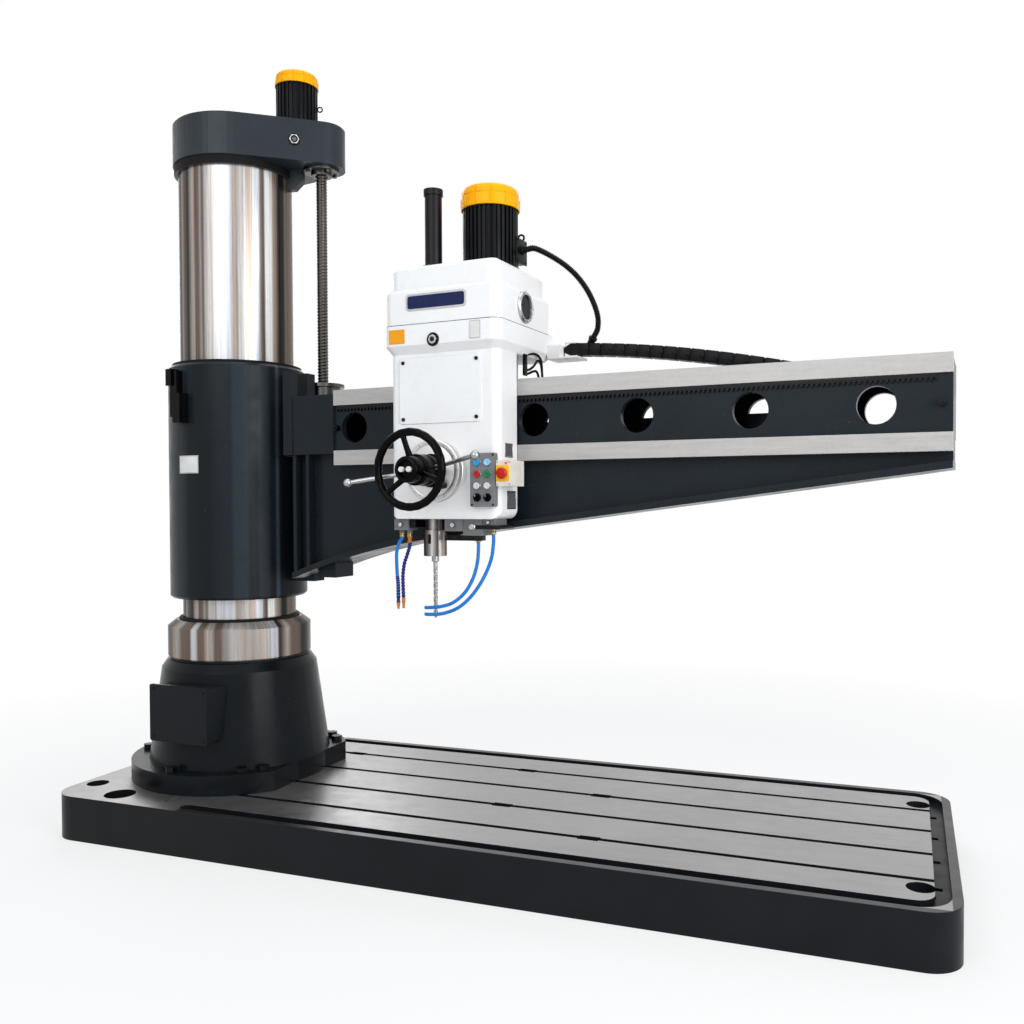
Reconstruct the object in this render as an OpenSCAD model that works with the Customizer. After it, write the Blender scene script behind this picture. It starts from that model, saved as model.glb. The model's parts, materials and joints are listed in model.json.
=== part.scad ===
// Radial arm drill with a floor base, rotating column, lifting arm and travelling drill head.
// Origin: column axis on the floor. +X runs along the base table, +Y to the back, +Z up. Millimetres.

/* [Base] */
// Length of the base casting
base_len = 3945; // [3600:5:4400]
// Width of the base casting
base_w = 1400; // [1300:20:1500]
// Height of the base casting
base_h = 204; // [180:4:240]
// Distance from the left end of the base to the column axis
base_back = 545; // [535:5:700]
// Corner radius of the base seen from above
base_corner_r = 130; // [80:10:160]
// Width of the outer lip round the table
lip_w = 35; // [25:5:45]
// Width of the coolant channel
channel_w = 55; // [40:5:70]
// Depth of the coolant channel
channel_d = 30; // [20:5:40]
// Radius of the corners of the coolant channel
channel_r = 70; // [60:5:90]
// Centre distance of the T-slots
slot_pitch = 275; // [250:5:290]
// Width of a T-slot's neck
slot_neck_w = 28; // [22:2:36]
// Depth of a T-slot's neck
slot_neck_d = 40; // [30:2:46]
// Width of a T-slot's foot
slot_foot_w = 50; // [44:2:60]
// Height of a T-slot's foot
slot_foot_h = 22; // [16:2:26]
// Thickness of the table plate over the ribbed underside
table_t = 94; // [90:2:110]
// Thickness of the ribs under the table
rib_t = 60; // [40:5:70]

/* [Anchors] */
// Anchor holes, left row from the column axis
anchor_left = 461; // [445:1:465]
// Anchor holes, right row from the column axis
anchor_right = 3264; // [3200:4:3280]
// Anchor holes, distance from the base's centre line
anchor_y = 490; // [460:5:510]
// Radius of an anchor hole
anchor_r = 22; // [16:1:26]
// Radius of an anchor hole's counterbore
anchor_cbore_r = 50; // [40:2:56]
// Depth of an anchor hole's counterbore
anchor_cbore_d = 60; // [30:5:80]
// Radius of the coolant sump mouth
sump_r = 70; // [50:5:76]

/* [Pedestal] */
// Thickness of the pedestal flange
flange_t = 93; // [70:1:110]
// Radius of the pedestal at its shoulder
shoulder_r = 378; // [370:1:390]
// Radius of the pedestal's top face
pedestal_top_r = 350; // [348:1:360]
// Height of the pedestal's top face above the floor
pedestal_z = 785; // [760:5:790]
// Wall thickness of the pedestal
pedestal_wall = 42; // [30:2:50]
// Pitch radius of the pedestal bolts
bolt_pitch_r = 480; // [476:1:486]
// Radius of a pedestal bolt's shank
bolt_r = 15; // [10:1:18]
// Width of the switchgear box's cover
box_w = 345; // [280:5:380]
// Height of the switchgear box's cover
box_h = 268; // [220:4:300]
// Height of the box's middle above the floor
box_z = 570; // [540:5:600]
// Sideways place of the box's middle
box_side = 45; // [20:5:60]
// Thickness of the box's cover
box_cover_t = 14; // [8:1:20]

/* [Column] */
// Radius of the polished outer column
column_r = 275; // [265:1:282]
// Wall thickness of the outer column
column_wall = 40; // [30:2:46]
// Height of the column's top end above the floor
column_top = 3190; // [3100:10:3300]
// Radius of the polished ring at the column's foot
ring_r = 348; // [330:2:356]
// Height of the polished ring
ring_h = 183; // [150:1:190]
// Wall thickness of the fixed inner column
inner_wall = 40; // [30:2:46]
// Radial thickness of the column bearings
bearing_t = 45; // [35:1:50]
// Running clearance of turning and sliding fits
fit = 0.05; // [0.02:0.01:0.09]
// Gap between faces that pass each other
gap = 0.3; // [0.2:0.1:0.8]

/* [Top housing] */
// Radius of the top housing round the column
cap_r = 300; // [292:2:310]
// Radius of the top housing round the elevating screw
cap_end_r = 118; // [110:1:135]
// Height of the top housing
cap_h = 204; // [180:4:230]
// Height of the collar under the top housing
cap_collar_h = 42; // [30:2:50]
// Wall thickness of the top housing
cap_wall = 25; // [18:1:30]
// Distance of the elevating screw from the column axis
screw_x = 450; // [448:1:460]
// Radius of the elevating screw
screw_r = 31; // [27:1:35]
// Radius of the lift motor
lift_motor_r = 102; // [90:2:110]
// Height of the lift motor's ribbed body
lift_motor_h = 180; // [120:2:200]
// Height of the lift motor's fan cowl
lift_cowl_h = 92; // [70:2:110]
// Distance of the lift motor from the column axis
lift_motor_x = 325; // [310:1:340]

/* [Arm] */
// Swing of the arm from the base's long axis, in degrees
arm_swing = -4.2; // [-30:0.1:30]
// Outer radius of the arm's sleeve
sleeve_r = 334; // [325:1:345]
// Height of the sleeve's lower end above the floor
sleeve_z = 1090; // [1000:5:1200]
// Length of the sleeve
sleeve_h = 1145; // [1130:5:1200]
// Turn of the limit switch round the sleeve, from the arm's axis
switch_turn = -99; // [-112:1:-96]
// Reach of the arm from the column axis
arm_reach = 3384; // [3200:4:3500]
// Half the thickness of the arm, to the face of its ways
arm_half = 150; // [140:1:160]
// Height of the upper way's top face above the floor
way_top = 2083; // [2070:1:2095]
// Height of the upper way
way_upper_h = 71; // [60:1:76]
// Height of the lower way's top face above the floor
way_low_top = 1802; // [1790:1:1815]
// Height of the lower way
way_lower_h = 68; // [55:1:75]
// Start of the ways from the column axis
way_start = 709; // [690:1:730]
// Depth of a way
way_t = 38; // [30:1:44]
// How far the ways stand proud of the arm's web
way_proud = 12; // [8:1:14]
// Wall thickness of the arm casting
arm_wall = 30; // [20:1:34]
// Half the thickness of the arm's lower web
web_half = 90; // [80:1:94]
// Radius of the openings through the arm
hole_r = 70; // [55:1:80]
// Place of the outermost opening along the arm
hole_last = 3124; // [3100:4:3180]
// Distance between the openings along the arm
hole_pitch = 461; // [440:1:470]
// Number of openings along the arm
hole_count = 6; // [3:1:6]
// Height of the arm's lower edge at its free end
edge_end_z = 1674; // [1640:2:1690]
// Slope of the arm's lower edge, rise over run
edge_slope = 0.129; // [0.1:0.001:0.14]

/* [Drill head] */
// Distance of the spindle axis from the column axis along the arm
head_x = 1312; // [1100:4:1800]
// Distance of the spindle axis in front of the column axis
spindle_y = 235; // [228:1:240]
// Width of the head's lower body
body_w = 528; // [500:2:560]
// Distance from the spindle axis to the body's left side
body_left = 171; // [160:1:190]
// Height of the body's underside above the floor
body_z = 1488; // [1450:2:1500]
// Front face of the body, in front of the column axis
body_front = 320; // [316:1:330]
// Height of the gearbox housing's underside above the floor
gear_z = 2190; // [2180:2:2200]
// Height of the gearbox housing's joint line above the floor
seam_z = 2309; // [2290:1:2320]
// Height of the gearbox cover's lower step above the floor
step_z = 2461; // [2440:1:2480]
// Height of the gearbox cover's top above the floor
cover_z = 2560; // [2540:2:2590]
// Front face of the gearbox housing, in front of the column axis
gear_front = 355; // [350:1:365]
// Back face of the gearbox housing, behind the column axis
gear_back = 200; // [180:2:206]
// Wall thickness of the head's castings
head_wall = 18; // [12:1:20]
// Radius of the main motor
motor_r = 120; // [110:1:140]
// Height of the main motor's ribbed body
motor_h = 260; // [240:1:300]
// Height of the main motor's fan cowl
cowl_h = 97; // [80:1:140]
// Distance of the main motor from the spindle axis
motor_x = 206; // [196:1:216]
// Radius of the spindle guard tube
tube_r = 37; // [34:1:44]
// Height of the spindle guard tube
tube_h = 342; // [300:1:420]

/* [Spindle] */
// Radius of the quill
quill_r = 66; // [60:1:66]
// Length of the quill
quill_len = 690; // [640:10:700]
// Radius of the spindle's nose
nose_r = 50; // [46:1:56]
// Length of the spindle's nose below the body
nose_len = 161; // [140:1:170]
// Radius of the spindle inside the quill
spindle_r = 36; // [30:1:38]
// Radius of the drill
drill_r = 9; // [6:1:14]
// Length of the drill below the spindle's nose
drill_len = 271; // [200:1:300]

/* [Controls] */
// Distance of the feed axis from the spindle axis
feed_x = 80; // [70:1:90]
// Height of the feed axis above the floor
feed_z = 1690; // [1680:1:1700]
// Outer radius of the dial ring
dial_r = 131; // [120:1:134]
// Radius of the handwheel, to the middle of its rim
wheel_r = 150; // [140:1:160]
// Radius of the handwheel rim's section
rim_r = 17; // [12:1:19]
// Distance of the handwheel's plane in front of the column axis
wheel_y = 560; // [550:2:580]
// Radius of the handwheel's hub
hub_r = 52; // [46:1:56]
// Reach of the feed levers from their axis
lever_reach = 312; // [280:2:330]
// Slope of the feed levers in the picture plane, in degrees
lever_angle = 9.5; // [0:0.5:20]
// Radius of a feed lever
lever_r = 10; // [7:1:11]
// Width of the push-button panel
panel_w = 116; // [104:2:116]
// Height of the push-button panel
panel_h = 222; // [210:2:230]
// Thickness of the push-button panel
panel_t = 25; // [15:1:30]
// Radius of a push-button
button_r = 11; // [9:1:13]
// Travel of a push-button
button_travel = 4; // [3:0.5:5]

/* [Hoses] */
// Radius of a coolant hose
hose_r = 7.5; // [6:0.5:9]
// Outer radius of the ribbed conduit
conduit_r = 13; // [11:0.5:14]
// Bore radius of the ribbed conduit
conduit_bore_r = 9; // [7:0.5:9.5]
// Radius of the jointed nozzle's segments
joint_r = 11; // [9:0.5:12]

/* [Hidden] */
$fn = 64;
eps = 1;

// Base values
base_right = base_len - base_back;
island_in = lip_w + channel_w;
channel_start = 200;
slot_start = 300;
slot_y = [for (i = [-1.5:1:1.5]) i * slot_pitch];
slot_end = base_right - lip_w - channel_w / 2;
pocket_len = 88;
pocket_w = 44;
pocket_place = [[435, 3], [1419, 3], [1895, 2], [1518, 1], [2016, 0]];
cavity_nx = 9;
cavity_ny = 3;
boss_r = anchor_cbore_r + 35;
anchor_points = [for (x = [-anchor_left, anchor_right]) for (y = [-anchor_y, anchor_y]) [x, y]];
sump_x = -225;
sump_y = -(base_w / 2 - sump_r - 40);
sump_d = 60;
plug_x = 80;
plug_r = 33;

// Pedestal values
flange_r = bolt_pitch_r + 43;
flange_flat = bolt_pitch_r - 55;
pedestal_r = bolt_pitch_r - 40;
box_out = bolt_pitch_r + 2;
flange_z = base_h + flange_t;
shoulder_z = pedestal_z - 40;
bolt_angles = [-160, -93, -52, -40, 40, 52, 93, 160];
bolt_head_h = 24;
bolt_deep = 80;
bolt_hole_r = bolt_r + 2;
box_turn = -3;
box_back = shoulder_r - 100;
box_rim = 10;
cover_screw_r = 6;

// Column values
thrust_top = pedestal_z + 12;
column_foot = thrust_top + gap;
ring_z = column_foot;
ring_chamfer = 32;
bore_r = column_r - column_wall;
inner_r = bore_r - bearing_t;
inner_top = column_top - 60;
inner_foot_r = pedestal_r - pedestal_wall - 40;
inner_foot_t = 50;
bearing_h = 90;
low_bearing_z = column_foot + 40;
high_bearing_z = inner_top - bearing_h - 20;
wiper_h = 14;
key_w = 50;
key_out = 16;
key_z = ring_z + ring_h + 20;
key_fit = 0.5;

// Top housing values: the housing points past the arm's root by its own turn
cap_turn = 18;
rib_end = column_r + 80;
screw_boss_r = 100;
cap_z = column_top + cap_collar_h;
cap_top = cap_z + cap_h;
cap_rib_w = 44;
cap_rib_drop = 96;
screw_low = 1850;
screw_top = cap_z + cap_h / 2;
screw_flange_r = 88;
screw_flange_h = 34;
lift_fins = 28;
eye_turn = -68;

// Arm values
sleeve_top = sleeve_z + sleeve_h;
sleeve_bore_r = column_r + fit;
sleeve_edge = 12;
web_face = arm_half - way_proud;
way_back = arm_half - way_t;
way_bottom = way_top - way_upper_h;
way_low_bottom = way_low_top - way_lower_h;
beam_top = way_top - 17;
beam_bottom = way_low_top - 15;
root_start = 250;
cheek_x = [418, 470];
neck_face = 40;
neck_back = 20;
low_neck_face = 10;
web_ribs = [462, 538];
web_rib_w = 18;
web_rib_rise = 74;
cheek_proud = 6;
cheek_top = sleeve_top - 45;
hole_z = (way_bottom + way_low_top) / 2;
hole_x = [for (i = [0:hole_count - 1]) hole_last - i * hole_pitch];
cavity_x = [650, arm_reach - arm_wall - 4];
edge_join = 1250;
edge_join_z = edge_end_z - edge_slope * (arm_reach - edge_join);
edge_root = [450, edge_join_z - 204];
edge_mid = [850, edge_join_z - edge_slope * (edge_join - 850)];
lip_half = arm_half - 10;
lip_t = 28;
foot_x = [553, 654];
foot_z = edge_root[1] + 5;
nut_disc_r = 105;
nut_disc_t = 16;
nut_neck_r = 85;
nut_neck_h = 73;
nut_r = 55;
nut_len = 110;
rack_module = 6;
rack_pitch = PI * rack_module;
rack_h = 28;
rack_start = way_start + 20;
rack_count = floor((arm_reach - way_start - 60) / rack_pitch);
stop_x = [way_start + 16, arm_reach - 37];
stop_r = 14;
tray_x = [760, 2950];
tray_wall = 4;
tray_w = 92;
tray_z = [hole_z - 70, hole_z + 14];

// Cable chain values, places along the arm and heights
chain_h = 54;
chain_w = 66;
chain_y = arm_half + tray_wall + 4 + chain_w / 2;
chain_start = [504, 2243];
chain_mid = [1000, 2215];
chain_end = [1600, 2065];
chain_links = 18;
chain_low_z = tray_z[0] + tray_wall + gap;
chain_low_len = 520;
chain_low_links = 8;
chain_notch = 7;
chain_gap = 4;
chain_entry = [66, 26];

// Head values
body_right = body_w - body_left;
body_back = arm_half + 2;
body_corner_r = 35;
body_low_r = 40;
gear_left = body_left + 13;
gear_right = body_right + 21;
gear_bevel_z = gear_z + 32;
gear_bevel_back = gear_back - 35;
gear_corner_r = 42;
tier_in = 3;
tier_left = gear_left - 26;
tier_right = gear_right - 21;
tier_front = gear_front - 20;
tier_back = gear_back - 60;
mid_back = gear_back - 36;
guide_r = quill_r + 16;
side_vents = [[[-264, 1745], [-192, 1804]], [[-248, 1529], [-164, 1605]]];
vent_deep = 8;
quill_fit_r = quill_r + fit;
shoe_x = [-150, 240];
motor_y = 100;
cowl_z = cover_z + motor_h;
motor_fins = 36;
tube_wall = 5;
tube_collar_h = 26;
plate_x = [-121, 276];
plate_z = [1893, 2174];
plate_t = 4;
side_glass_r = 60;
side_glass_y = 125;
side_glass_z = 2387;
front_glass_r = 20;
front_glass = [68, 2240];
term_box = [46, 96, 104];
term_z = cover_z + 36;
term_y = 40;
term_face = motor_x + motor_r + term_box[0] - 24;
gland_len = 34;
gland_z = term_z + term_box[2] - 24;
bracket_x = [gear_right, chain_start[0] + 22];
bracket_z = chain_start[1] - chain_h / 2 - 10;
bracket_t = 9;

// Spindle values
nose_z = body_z - nose_len;
quill_z = body_z + 2;
spline_top = cover_z + tube_h - 60;
spline_r = 27;
taper_r = 31;
taper_len = 190;
slot_h = 40;
nose_head_h = 112;
drift_w = 17;
slot_rise = 54;

// Control values
boss_front = body_front + 30;
boss_r2 = dial_r - 9;
dial_y = [boss_front + gap, boss_front + 42];
feed_hub_y = 475;
lever_y = feed_hub_y - 25;
feed_hub_r = 62;
shaft_r = 16;
shaft_back = spindle_y + 42;
wheel_hub_y = [feed_hub_y + 2, 592];
spoke_r = 11;
spoke_turn = 42;
hub_button_r = 8;
hub_button_x = 16;
hub_button_travel = 3;
panel_x = [body_right - panel_w - 5, body_right - 5];
panel_z = 1650;
panel_face = body_front + panel_t;
button_pitch = [48, 48];
button_out = 12;
button_hole_r = button_r + gap;
stop_w = 68;
stop_h = 105;
stop_depth = 120;
stop_z = 1676;
stop_r2 = 23;
stop_stem_r = 11;
stop_travel = 6;

// Hose routes: distance from the spindle axis along the arm, depth, height above the floor
upper_route = [[228, -262, 1395], [228, -262, 1360], [226, -268, 1305], [212, -280, 1240],
    [182, -296, 1180], [132, -308, 1136], [76, -313, 1117], [20, -314, 1110], [-4, -314, 1109]];
lower_route = [[300, -262, 1424], [300, -262, 1390], [292, -268, 1320], [262, -282, 1240],
    [216, -298, 1168], [156, -308, 1115], [86, -313, 1088], [24, -314, 1081], [-4, -314, 1081]];
air_route = [[-160, -250, 1424], [-160, -250, 1407], [-175, -252, 1380], [-186, -255, 1340],
    [-186, -256, 1296], [-183, -257, 1245], [-178, -258, 1200], [-177, -258, 1140]];
joint_route = [[-121, -250, 1424], [-121, -250, 1396], [-120, -252, 1370], [-132, -254, 1330],
    [-146, -256, 1290], [-153, -257, 1240], [-152, -258, 1190], [-150, -258, 1140]];
conduit_route = [[term_face + gland_len, -term_y, gland_z],
    [term_face + gland_len + 52, -term_y, gland_z], [486, -10, 2628], [534, 24, 2572], [576, 62, 2508],
    [604, 104, 2444], [608, 150, 2390],
    [chain_start[0] + chain_entry[0], chain_y, chain_start[1] + chain_h / 2 + chain_entry[1] + 46],
    [chain_start[0] + chain_entry[0], chain_y, chain_start[1] + chain_h / 2 + chain_entry[1]]];
// Blocks under the head that carry the hoses: low corner, then the far corner's place
fitting_blocks = [[[-177, -286, 1438], [-105, -215]], [[86, -300, 1436], [170, -200]],
    [[170, -290, 1418], [260, -170]], [[260, -284, 1446], [320, -180]]];
hose_sides = 8;
rib_count = 72;
joint_count = 14;

function mid_point(p, q, t) = p + (q - p) * t;
function unit(v) = v / norm(v);

// Point at share t of the Catmull-Rom curve's stretch i
function curve_at(p, i, t) =
    let (a = i > 0 ? p[i - 1] : 2 * p[0] - p[1], b = p[i], c = p[i + 1],
        d = i + 2 < len(p) ? p[i + 2] : 2 * p[i + 1] - p[i])
    0.5 * (2 * b + (c - a) * t + (2 * a - 5 * b + 4 * c - d) * t * t
        + (3 * b - a - 3 * c + d) * t * t * t);
// Point at share s, from 0 to 1, of the whole curve
function along(p, s) =
    let (m = len(p) - 1, k = min(floor(s * m), m - 1)) curve_at(p, k, s * m - k);
// Heading at share s; an end ring stands square to the first or last stretch
function heading(p, s) = let (m = len(p) - 1)
    s <= 0 ? unit(p[1] - p[0]) : s >= 1 ? unit(p[m] - p[m - 1])
    : unit(along(p, min(s + 0.004, 1)) - along(p, max(s - 0.004, 0)));
// One ring of a tube, square to the route at share s
function tube_ring(p, s, r, sides) =
    let (c = along(p, s), t = heading(p, s), n = unit(cross(t, [0, 1, 0])), b = cross(n, t))
    [for (k = [0:sides - 1]) c + r * (cos(k * 360 / sides) * n + sin(k * 360 / sides) * b)];
function wrap(k, sides) = k % sides;
// Triangles between consecutive rings, then the two end discs
function tube_walls(rings, sides) = [for (i = [0:rings - 2]) for (k = [0:sides - 1])
    for (f = [[i * sides + k, i * sides + wrap(k + 1, sides), (i + 1) * sides + k],
        [i * sides + wrap(k + 1, sides), (i + 1) * sides + wrap(k + 1, sides), (i + 1) * sides + k]]) f];
function tube_ends(rings, sides) = concat(
    [for (k = [1:sides - 2]) [0, k + 1, k]],
    [for (k = [1:sides - 2]) [for (j = [0, k, k + 1]) (rings - 1) * sides + j]]);

// A solid tube along a route, with a list of stations [share, radius]
module route_tube(p, stations, sides) {
    polyhedron(points = [for (s = stations) for (q = tube_ring(p, s[0], s[1], sides)) q],
        faces = concat(tube_walls(len(stations), sides), tube_ends(len(stations), sides)));
}
module plain_hose(p, r, rings) {
    route_tube(p, [for (i = [0:rings]) [i / rings, r]], hose_sides);
}

// Placing helpers
module in_arm() { rotate([0, 0, arm_swing]) children(); }
module in_head() { in_arm() translate([head_x, 0, 0]) children(); }
module at_screw(z) { rotate(cap_turn) translate([screw_x, 0, z]) children(); }
module at_spindle(z) { in_head() translate([0, -spindle_y, z]) children(); }
module at_feed(y) { in_head() translate([feed_x, -y, feed_z]) rotate([90, 0, 0]) children(); }
// Box between two opposite corners
module span(a, b) { translate(a) cube(b - a); }
module ring_pipe(r_out, r_in, h) {
    difference() {
        cylinder(r = r_out, h = h);
        translate([0, 0, -eps]) cylinder(r = r_in, h = h + 2 * eps);
    }
}
// Flat outline with four round corners
module round_rect(x0, x1, y0, y1, r) {
    translate([x0 + r, y0]) square([x1 - x0 - 2 * r, y1 - y0]);
    translate([x0, y0 + r]) square([x1 - x0, y1 - y0 - 2 * r]);
    for (x = [x0 + r, x1 - r]) for (y = [y0 + r, y1 - r]) translate([x, y]) circle(r = r);
}
module slab(x0, x1, y0, y1, r, z, h) {
    translate([0, 0, z]) linear_extrude(h) round_rect(x0, x1, y0, y1, r);
}
module hex_bolt(r, head_h, deep) {
    cylinder(r = r * 1.8, h = head_h, $fn = 6);
    translate([0, 0, -deep]) cylinder(r = r, h = deep + eps);
}
// Ribbed motor body with a row of slots between its fins
module ribbed_body(r, h, fins) {
    depth = r * 0.09;
    linear_extrude(h) difference() {
        circle(r = r);
        for (i = [0:fins - 1]) rotate(i * 360 / fins)
            translate([r - depth, -r * 0.04]) square([depth * 2, r * 0.08]);
    }
}
// Twelve-sided fan cowl in two tiers
module fan_cowl(r, h) {
    linear_extrude(h * 0.55) circle(r = r * 1.05, $fn = 12);
    translate([0, 0, h * 0.55 - eps]) linear_extrude(h * 0.33 + eps) circle(r = r * 0.97, $fn = 12);
    translate([0, 0, h * 0.88 - eps]) linear_extrude(h * 0.12 + eps) circle(r = r * 0.9, $fn = 12);
}

// Base group
module t_slot(y) {
    top = base_h + eps;
    foot = base_h - slot_neck_d;
    span([slot_start, y - slot_neck_w / 2, foot], [slot_end, y + slot_neck_w / 2, top]);
    span([slot_start, y - slot_foot_w / 2, foot - slot_foot_h], [slot_end, y + slot_foot_w / 2, foot]);
}
module channel() {
    edge = base_w / 2 - lip_w;
    island = base_w / 2 - island_in;
    floor_z = base_h - channel_d;
    intersection() {
        difference() {
            slab(0, base_right - lip_w, -edge, edge, channel_r + channel_w, floor_z, channel_d + eps);
            slab(-channel_r, base_right - island_in, -island, island, channel_r, floor_z - eps,
                channel_d + 3 * eps);
        }
        span([channel_start, -base_w, 0], [base_right, base_w, base_h + eps]);
    }
    for (side = [-1, 1]) translate([channel_start, side * (edge + island) / 2, floor_z])
        cylinder(r = channel_w / 2, h = channel_d + eps);
}
module underside_cavities() {
    pitch_x = (base_len - rib_t) / cavity_nx;
    pitch_y = (base_w - rib_t) / cavity_ny;
    difference() {
        for (i = [0:cavity_nx - 1]) for (j = [0:cavity_ny - 1])
            translate([-base_back + rib_t + i * pitch_x, -base_w / 2 + rib_t + j * pitch_y, -eps])
                cube([pitch_x - rib_t, pitch_y - rib_t, base_h - table_t + eps]);
        for (p = anchor_points) translate([p[0], p[1], -2 * eps]) cylinder(r = boss_r, h = base_h);
        for (x = [-base_back, base_right]) for (side = [-1, 1])
            translate([x, side * base_w / 2, -2 * eps]) cylinder(r = base_corner_r + rib_t, h = base_h);
        translate([0, 0, -2 * eps]) cylinder(r = inner_foot_r, h = base_h);
        translate([sump_x, sump_y, -2 * eps]) cylinder(r = sump_r + 25, h = base_h);
    }
}
module base() {
    color("dimgray") difference() {
        slab(-base_back, base_right, -base_w / 2, base_w / 2, base_corner_r, 0, base_h);
        channel();
        for (y = slot_y) t_slot(y);
        for (p = pocket_place)
            span([p[0] - pocket_len / 2, slot_y[p[1]] - pocket_w / 2, base_h - slot_neck_d - slot_foot_h],
                [p[0] + pocket_len / 2, slot_y[p[1]] + pocket_w / 2, base_h + eps]);
        for (p = anchor_points) translate([p[0], p[1], 0]) {
            translate([0, 0, -eps]) cylinder(r = anchor_r, h = base_h + 2 * eps);
            translate([0, 0, base_h - anchor_cbore_d])
                cylinder(r = anchor_cbore_r, h = anchor_cbore_d + eps);
        }
        translate([sump_x, sump_y, base_h - sump_d]) cylinder(r = sump_r, h = sump_d + eps);
        translate([plug_x, sump_y, base_h - 3]) cylinder(r = plug_r, h = 3 + eps);
        for (a = bolt_angles) rotate(a) translate([bolt_pitch_r, 0, base_h - bolt_deep])
            cylinder(r = bolt_r + gap, h = bolt_deep + eps);
        underside_cavities();
    }
}
// Outer shape of the pedestal above its flange
module pedestal_cone() {
    rotate_extrude() polygon([[0, base_h], [pedestal_r, base_h], [pedestal_r, flange_z],
        [shoulder_r, shoulder_z], [pedestal_top_r, pedestal_z], [0, pedestal_z]]);
}
module pedestal() {
    cavity_r = pedestal_r - pedestal_wall;
    color("darkslategray") difference() {
        union() {
            pedestal_cone();
            translate([0, 0, base_h]) intersection() {
                cylinder(r = flange_r, h = flange_t);
                span([-2 * flange_r, -2 * flange_r, -eps], [flange_flat, 2 * flange_r, flange_t + eps]);
            }
        }
        rotate_extrude() polygon([[0, base_h - eps], [cavity_r, base_h - eps], [cavity_r, flange_z],
            [shoulder_r - pedestal_wall, shoulder_z - 10], [0, shoulder_z - 10]]);
        cylinder(r = inner_r + 6, h = pedestal_z + eps);
        for (a = bolt_angles) rotate(a) translate([bolt_pitch_r, 0, base_h - eps])
            cylinder(r = bolt_hole_r, h = flange_t + 2 * eps);
    }
}
module pedestal_bolts() {
    color("black") for (a = bolt_angles) rotate(a) translate([bolt_pitch_r, 0, flange_z])
        hex_bolt(bolt_r, bolt_head_h, flange_t + bolt_deep - 10);
}
module at_box() { rotate(box_turn) translate([box_side, -box_out, box_z]) children(); }
module switch_box() {
    w = box_w / 2 - box_rim;
    h = box_h / 2 - box_rim;
    color("darkslategray") difference() {
        at_box() span([-w, box_cover_t, -h], [w, box_out - box_back, h]);
        pedestal_cone();
        at_box() span([-w + 8, box_cover_t - eps, -h + 8], [w - 8, box_cover_t + 40, h - 8]);
    }
}
module switch_box_cover() {
    w = box_w / 2;
    h = box_h / 2;
    inset = 22;
    color("darkslategray") at_box() {
        rotate([90, 0, 0]) translate([0, 0, -box_cover_t]) linear_extrude(box_cover_t)
            round_rect(-w, w, -h, h, box_rim);
        for (x = [-w + inset, w - inset]) for (z = [-h + inset, h - inset])
            translate([x, 0, z]) rotate([90, 0, 0]) cylinder(r = cover_screw_r, h = 5);
    }
}
module inner_column() {
    color("gray") difference() {
        union() {
            translate([0, 0, base_h]) cylinder(r = inner_foot_r, h = inner_foot_t);
            translate([0, 0, base_h]) cylinder(r = inner_r, h = inner_top - base_h);
        }
        translate([0, 0, base_h - eps]) cylinder(r = inner_r - inner_wall, h = inner_top);
    }
}
module column_bearings() {
    color("darkgoldenrod") {
        for (z = [low_bearing_z, high_bearing_z]) translate([0, 0, z])
            ring_pipe(bore_r - fit, inner_r, bearing_h);
        translate([0, 0, pedestal_z]) ring_pipe(ring_r - 14, column_r - 10, thrust_top - pedestal_z);
    }
}

// Column group, turned with the arm
module outer_column() {
    color("lightgray") in_arm() difference() {
        translate([0, 0, column_foot]) ring_pipe(column_r, bore_r, column_top - column_foot);
        span([-key_w / 2, column_r - key_out, key_z], [key_w / 2, column_r + eps, column_top + eps]);
    }
}
module column_ring() {
    inner = column_r;
    color("silver") in_arm() rotate_extrude() polygon([[inner, ring_z], [ring_r - 6, ring_z],
        [ring_r, ring_z + 6], [ring_r, ring_z + ring_h - ring_chamfer],
        [ring_r - ring_chamfer - 8, ring_z + ring_h], [inner, ring_z + ring_h]]);
}
module guide_key() {
    color("gray") in_arm() span([-key_w / 2, column_r - key_out, key_z],
        [key_w / 2, column_r + key_out, column_top]);
}
// Flat outline of the top housing, round the column and round the elevating screw
module cap_outline(inset) {
    hull() {
        circle(r = cap_r - inset);
        translate([screw_x, 0]) circle(r = cap_end_r - inset);
    }
}
module top_housing() {
    edge = 8;
    low = cap_z - cap_rib_drop;
    color("darkslategray") in_arm() difference() {
        rotate(cap_turn) union() {
            translate([0, 0, cap_z]) linear_extrude(cap_h - edge) cap_outline(0);
            translate([0, 0, cap_top - edge - eps]) linear_extrude(edge + eps) cap_outline(edge);
            translate([0, 0, column_top]) cylinder(r = cap_r - 8, h = cap_collar_h + eps);
            flat_in_arm(-cap_rib_w / 2, cap_rib_w / 2) polygon([[column_r - 40, low], [rib_end - 40, low],
                [rib_end, low + 40], [rib_end, cap_z + eps], [column_r - 40, cap_z + eps]]);
        }
        rotate(cap_turn) translate([0, 0, cap_z + cap_wall]) linear_extrude(cap_h - 2 * cap_wall)
            cap_outline(cap_wall);
        translate([0, 0, 0]) cylinder(r = column_r, h = column_top);
        span([-key_w / 2, 0, key_z], [key_w / 2, column_r + key_out, column_top]);
        at_screw(cap_z - eps) cylinder(r = screw_r + 8, h = cap_wall + 2 * eps);
    }
}
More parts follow.
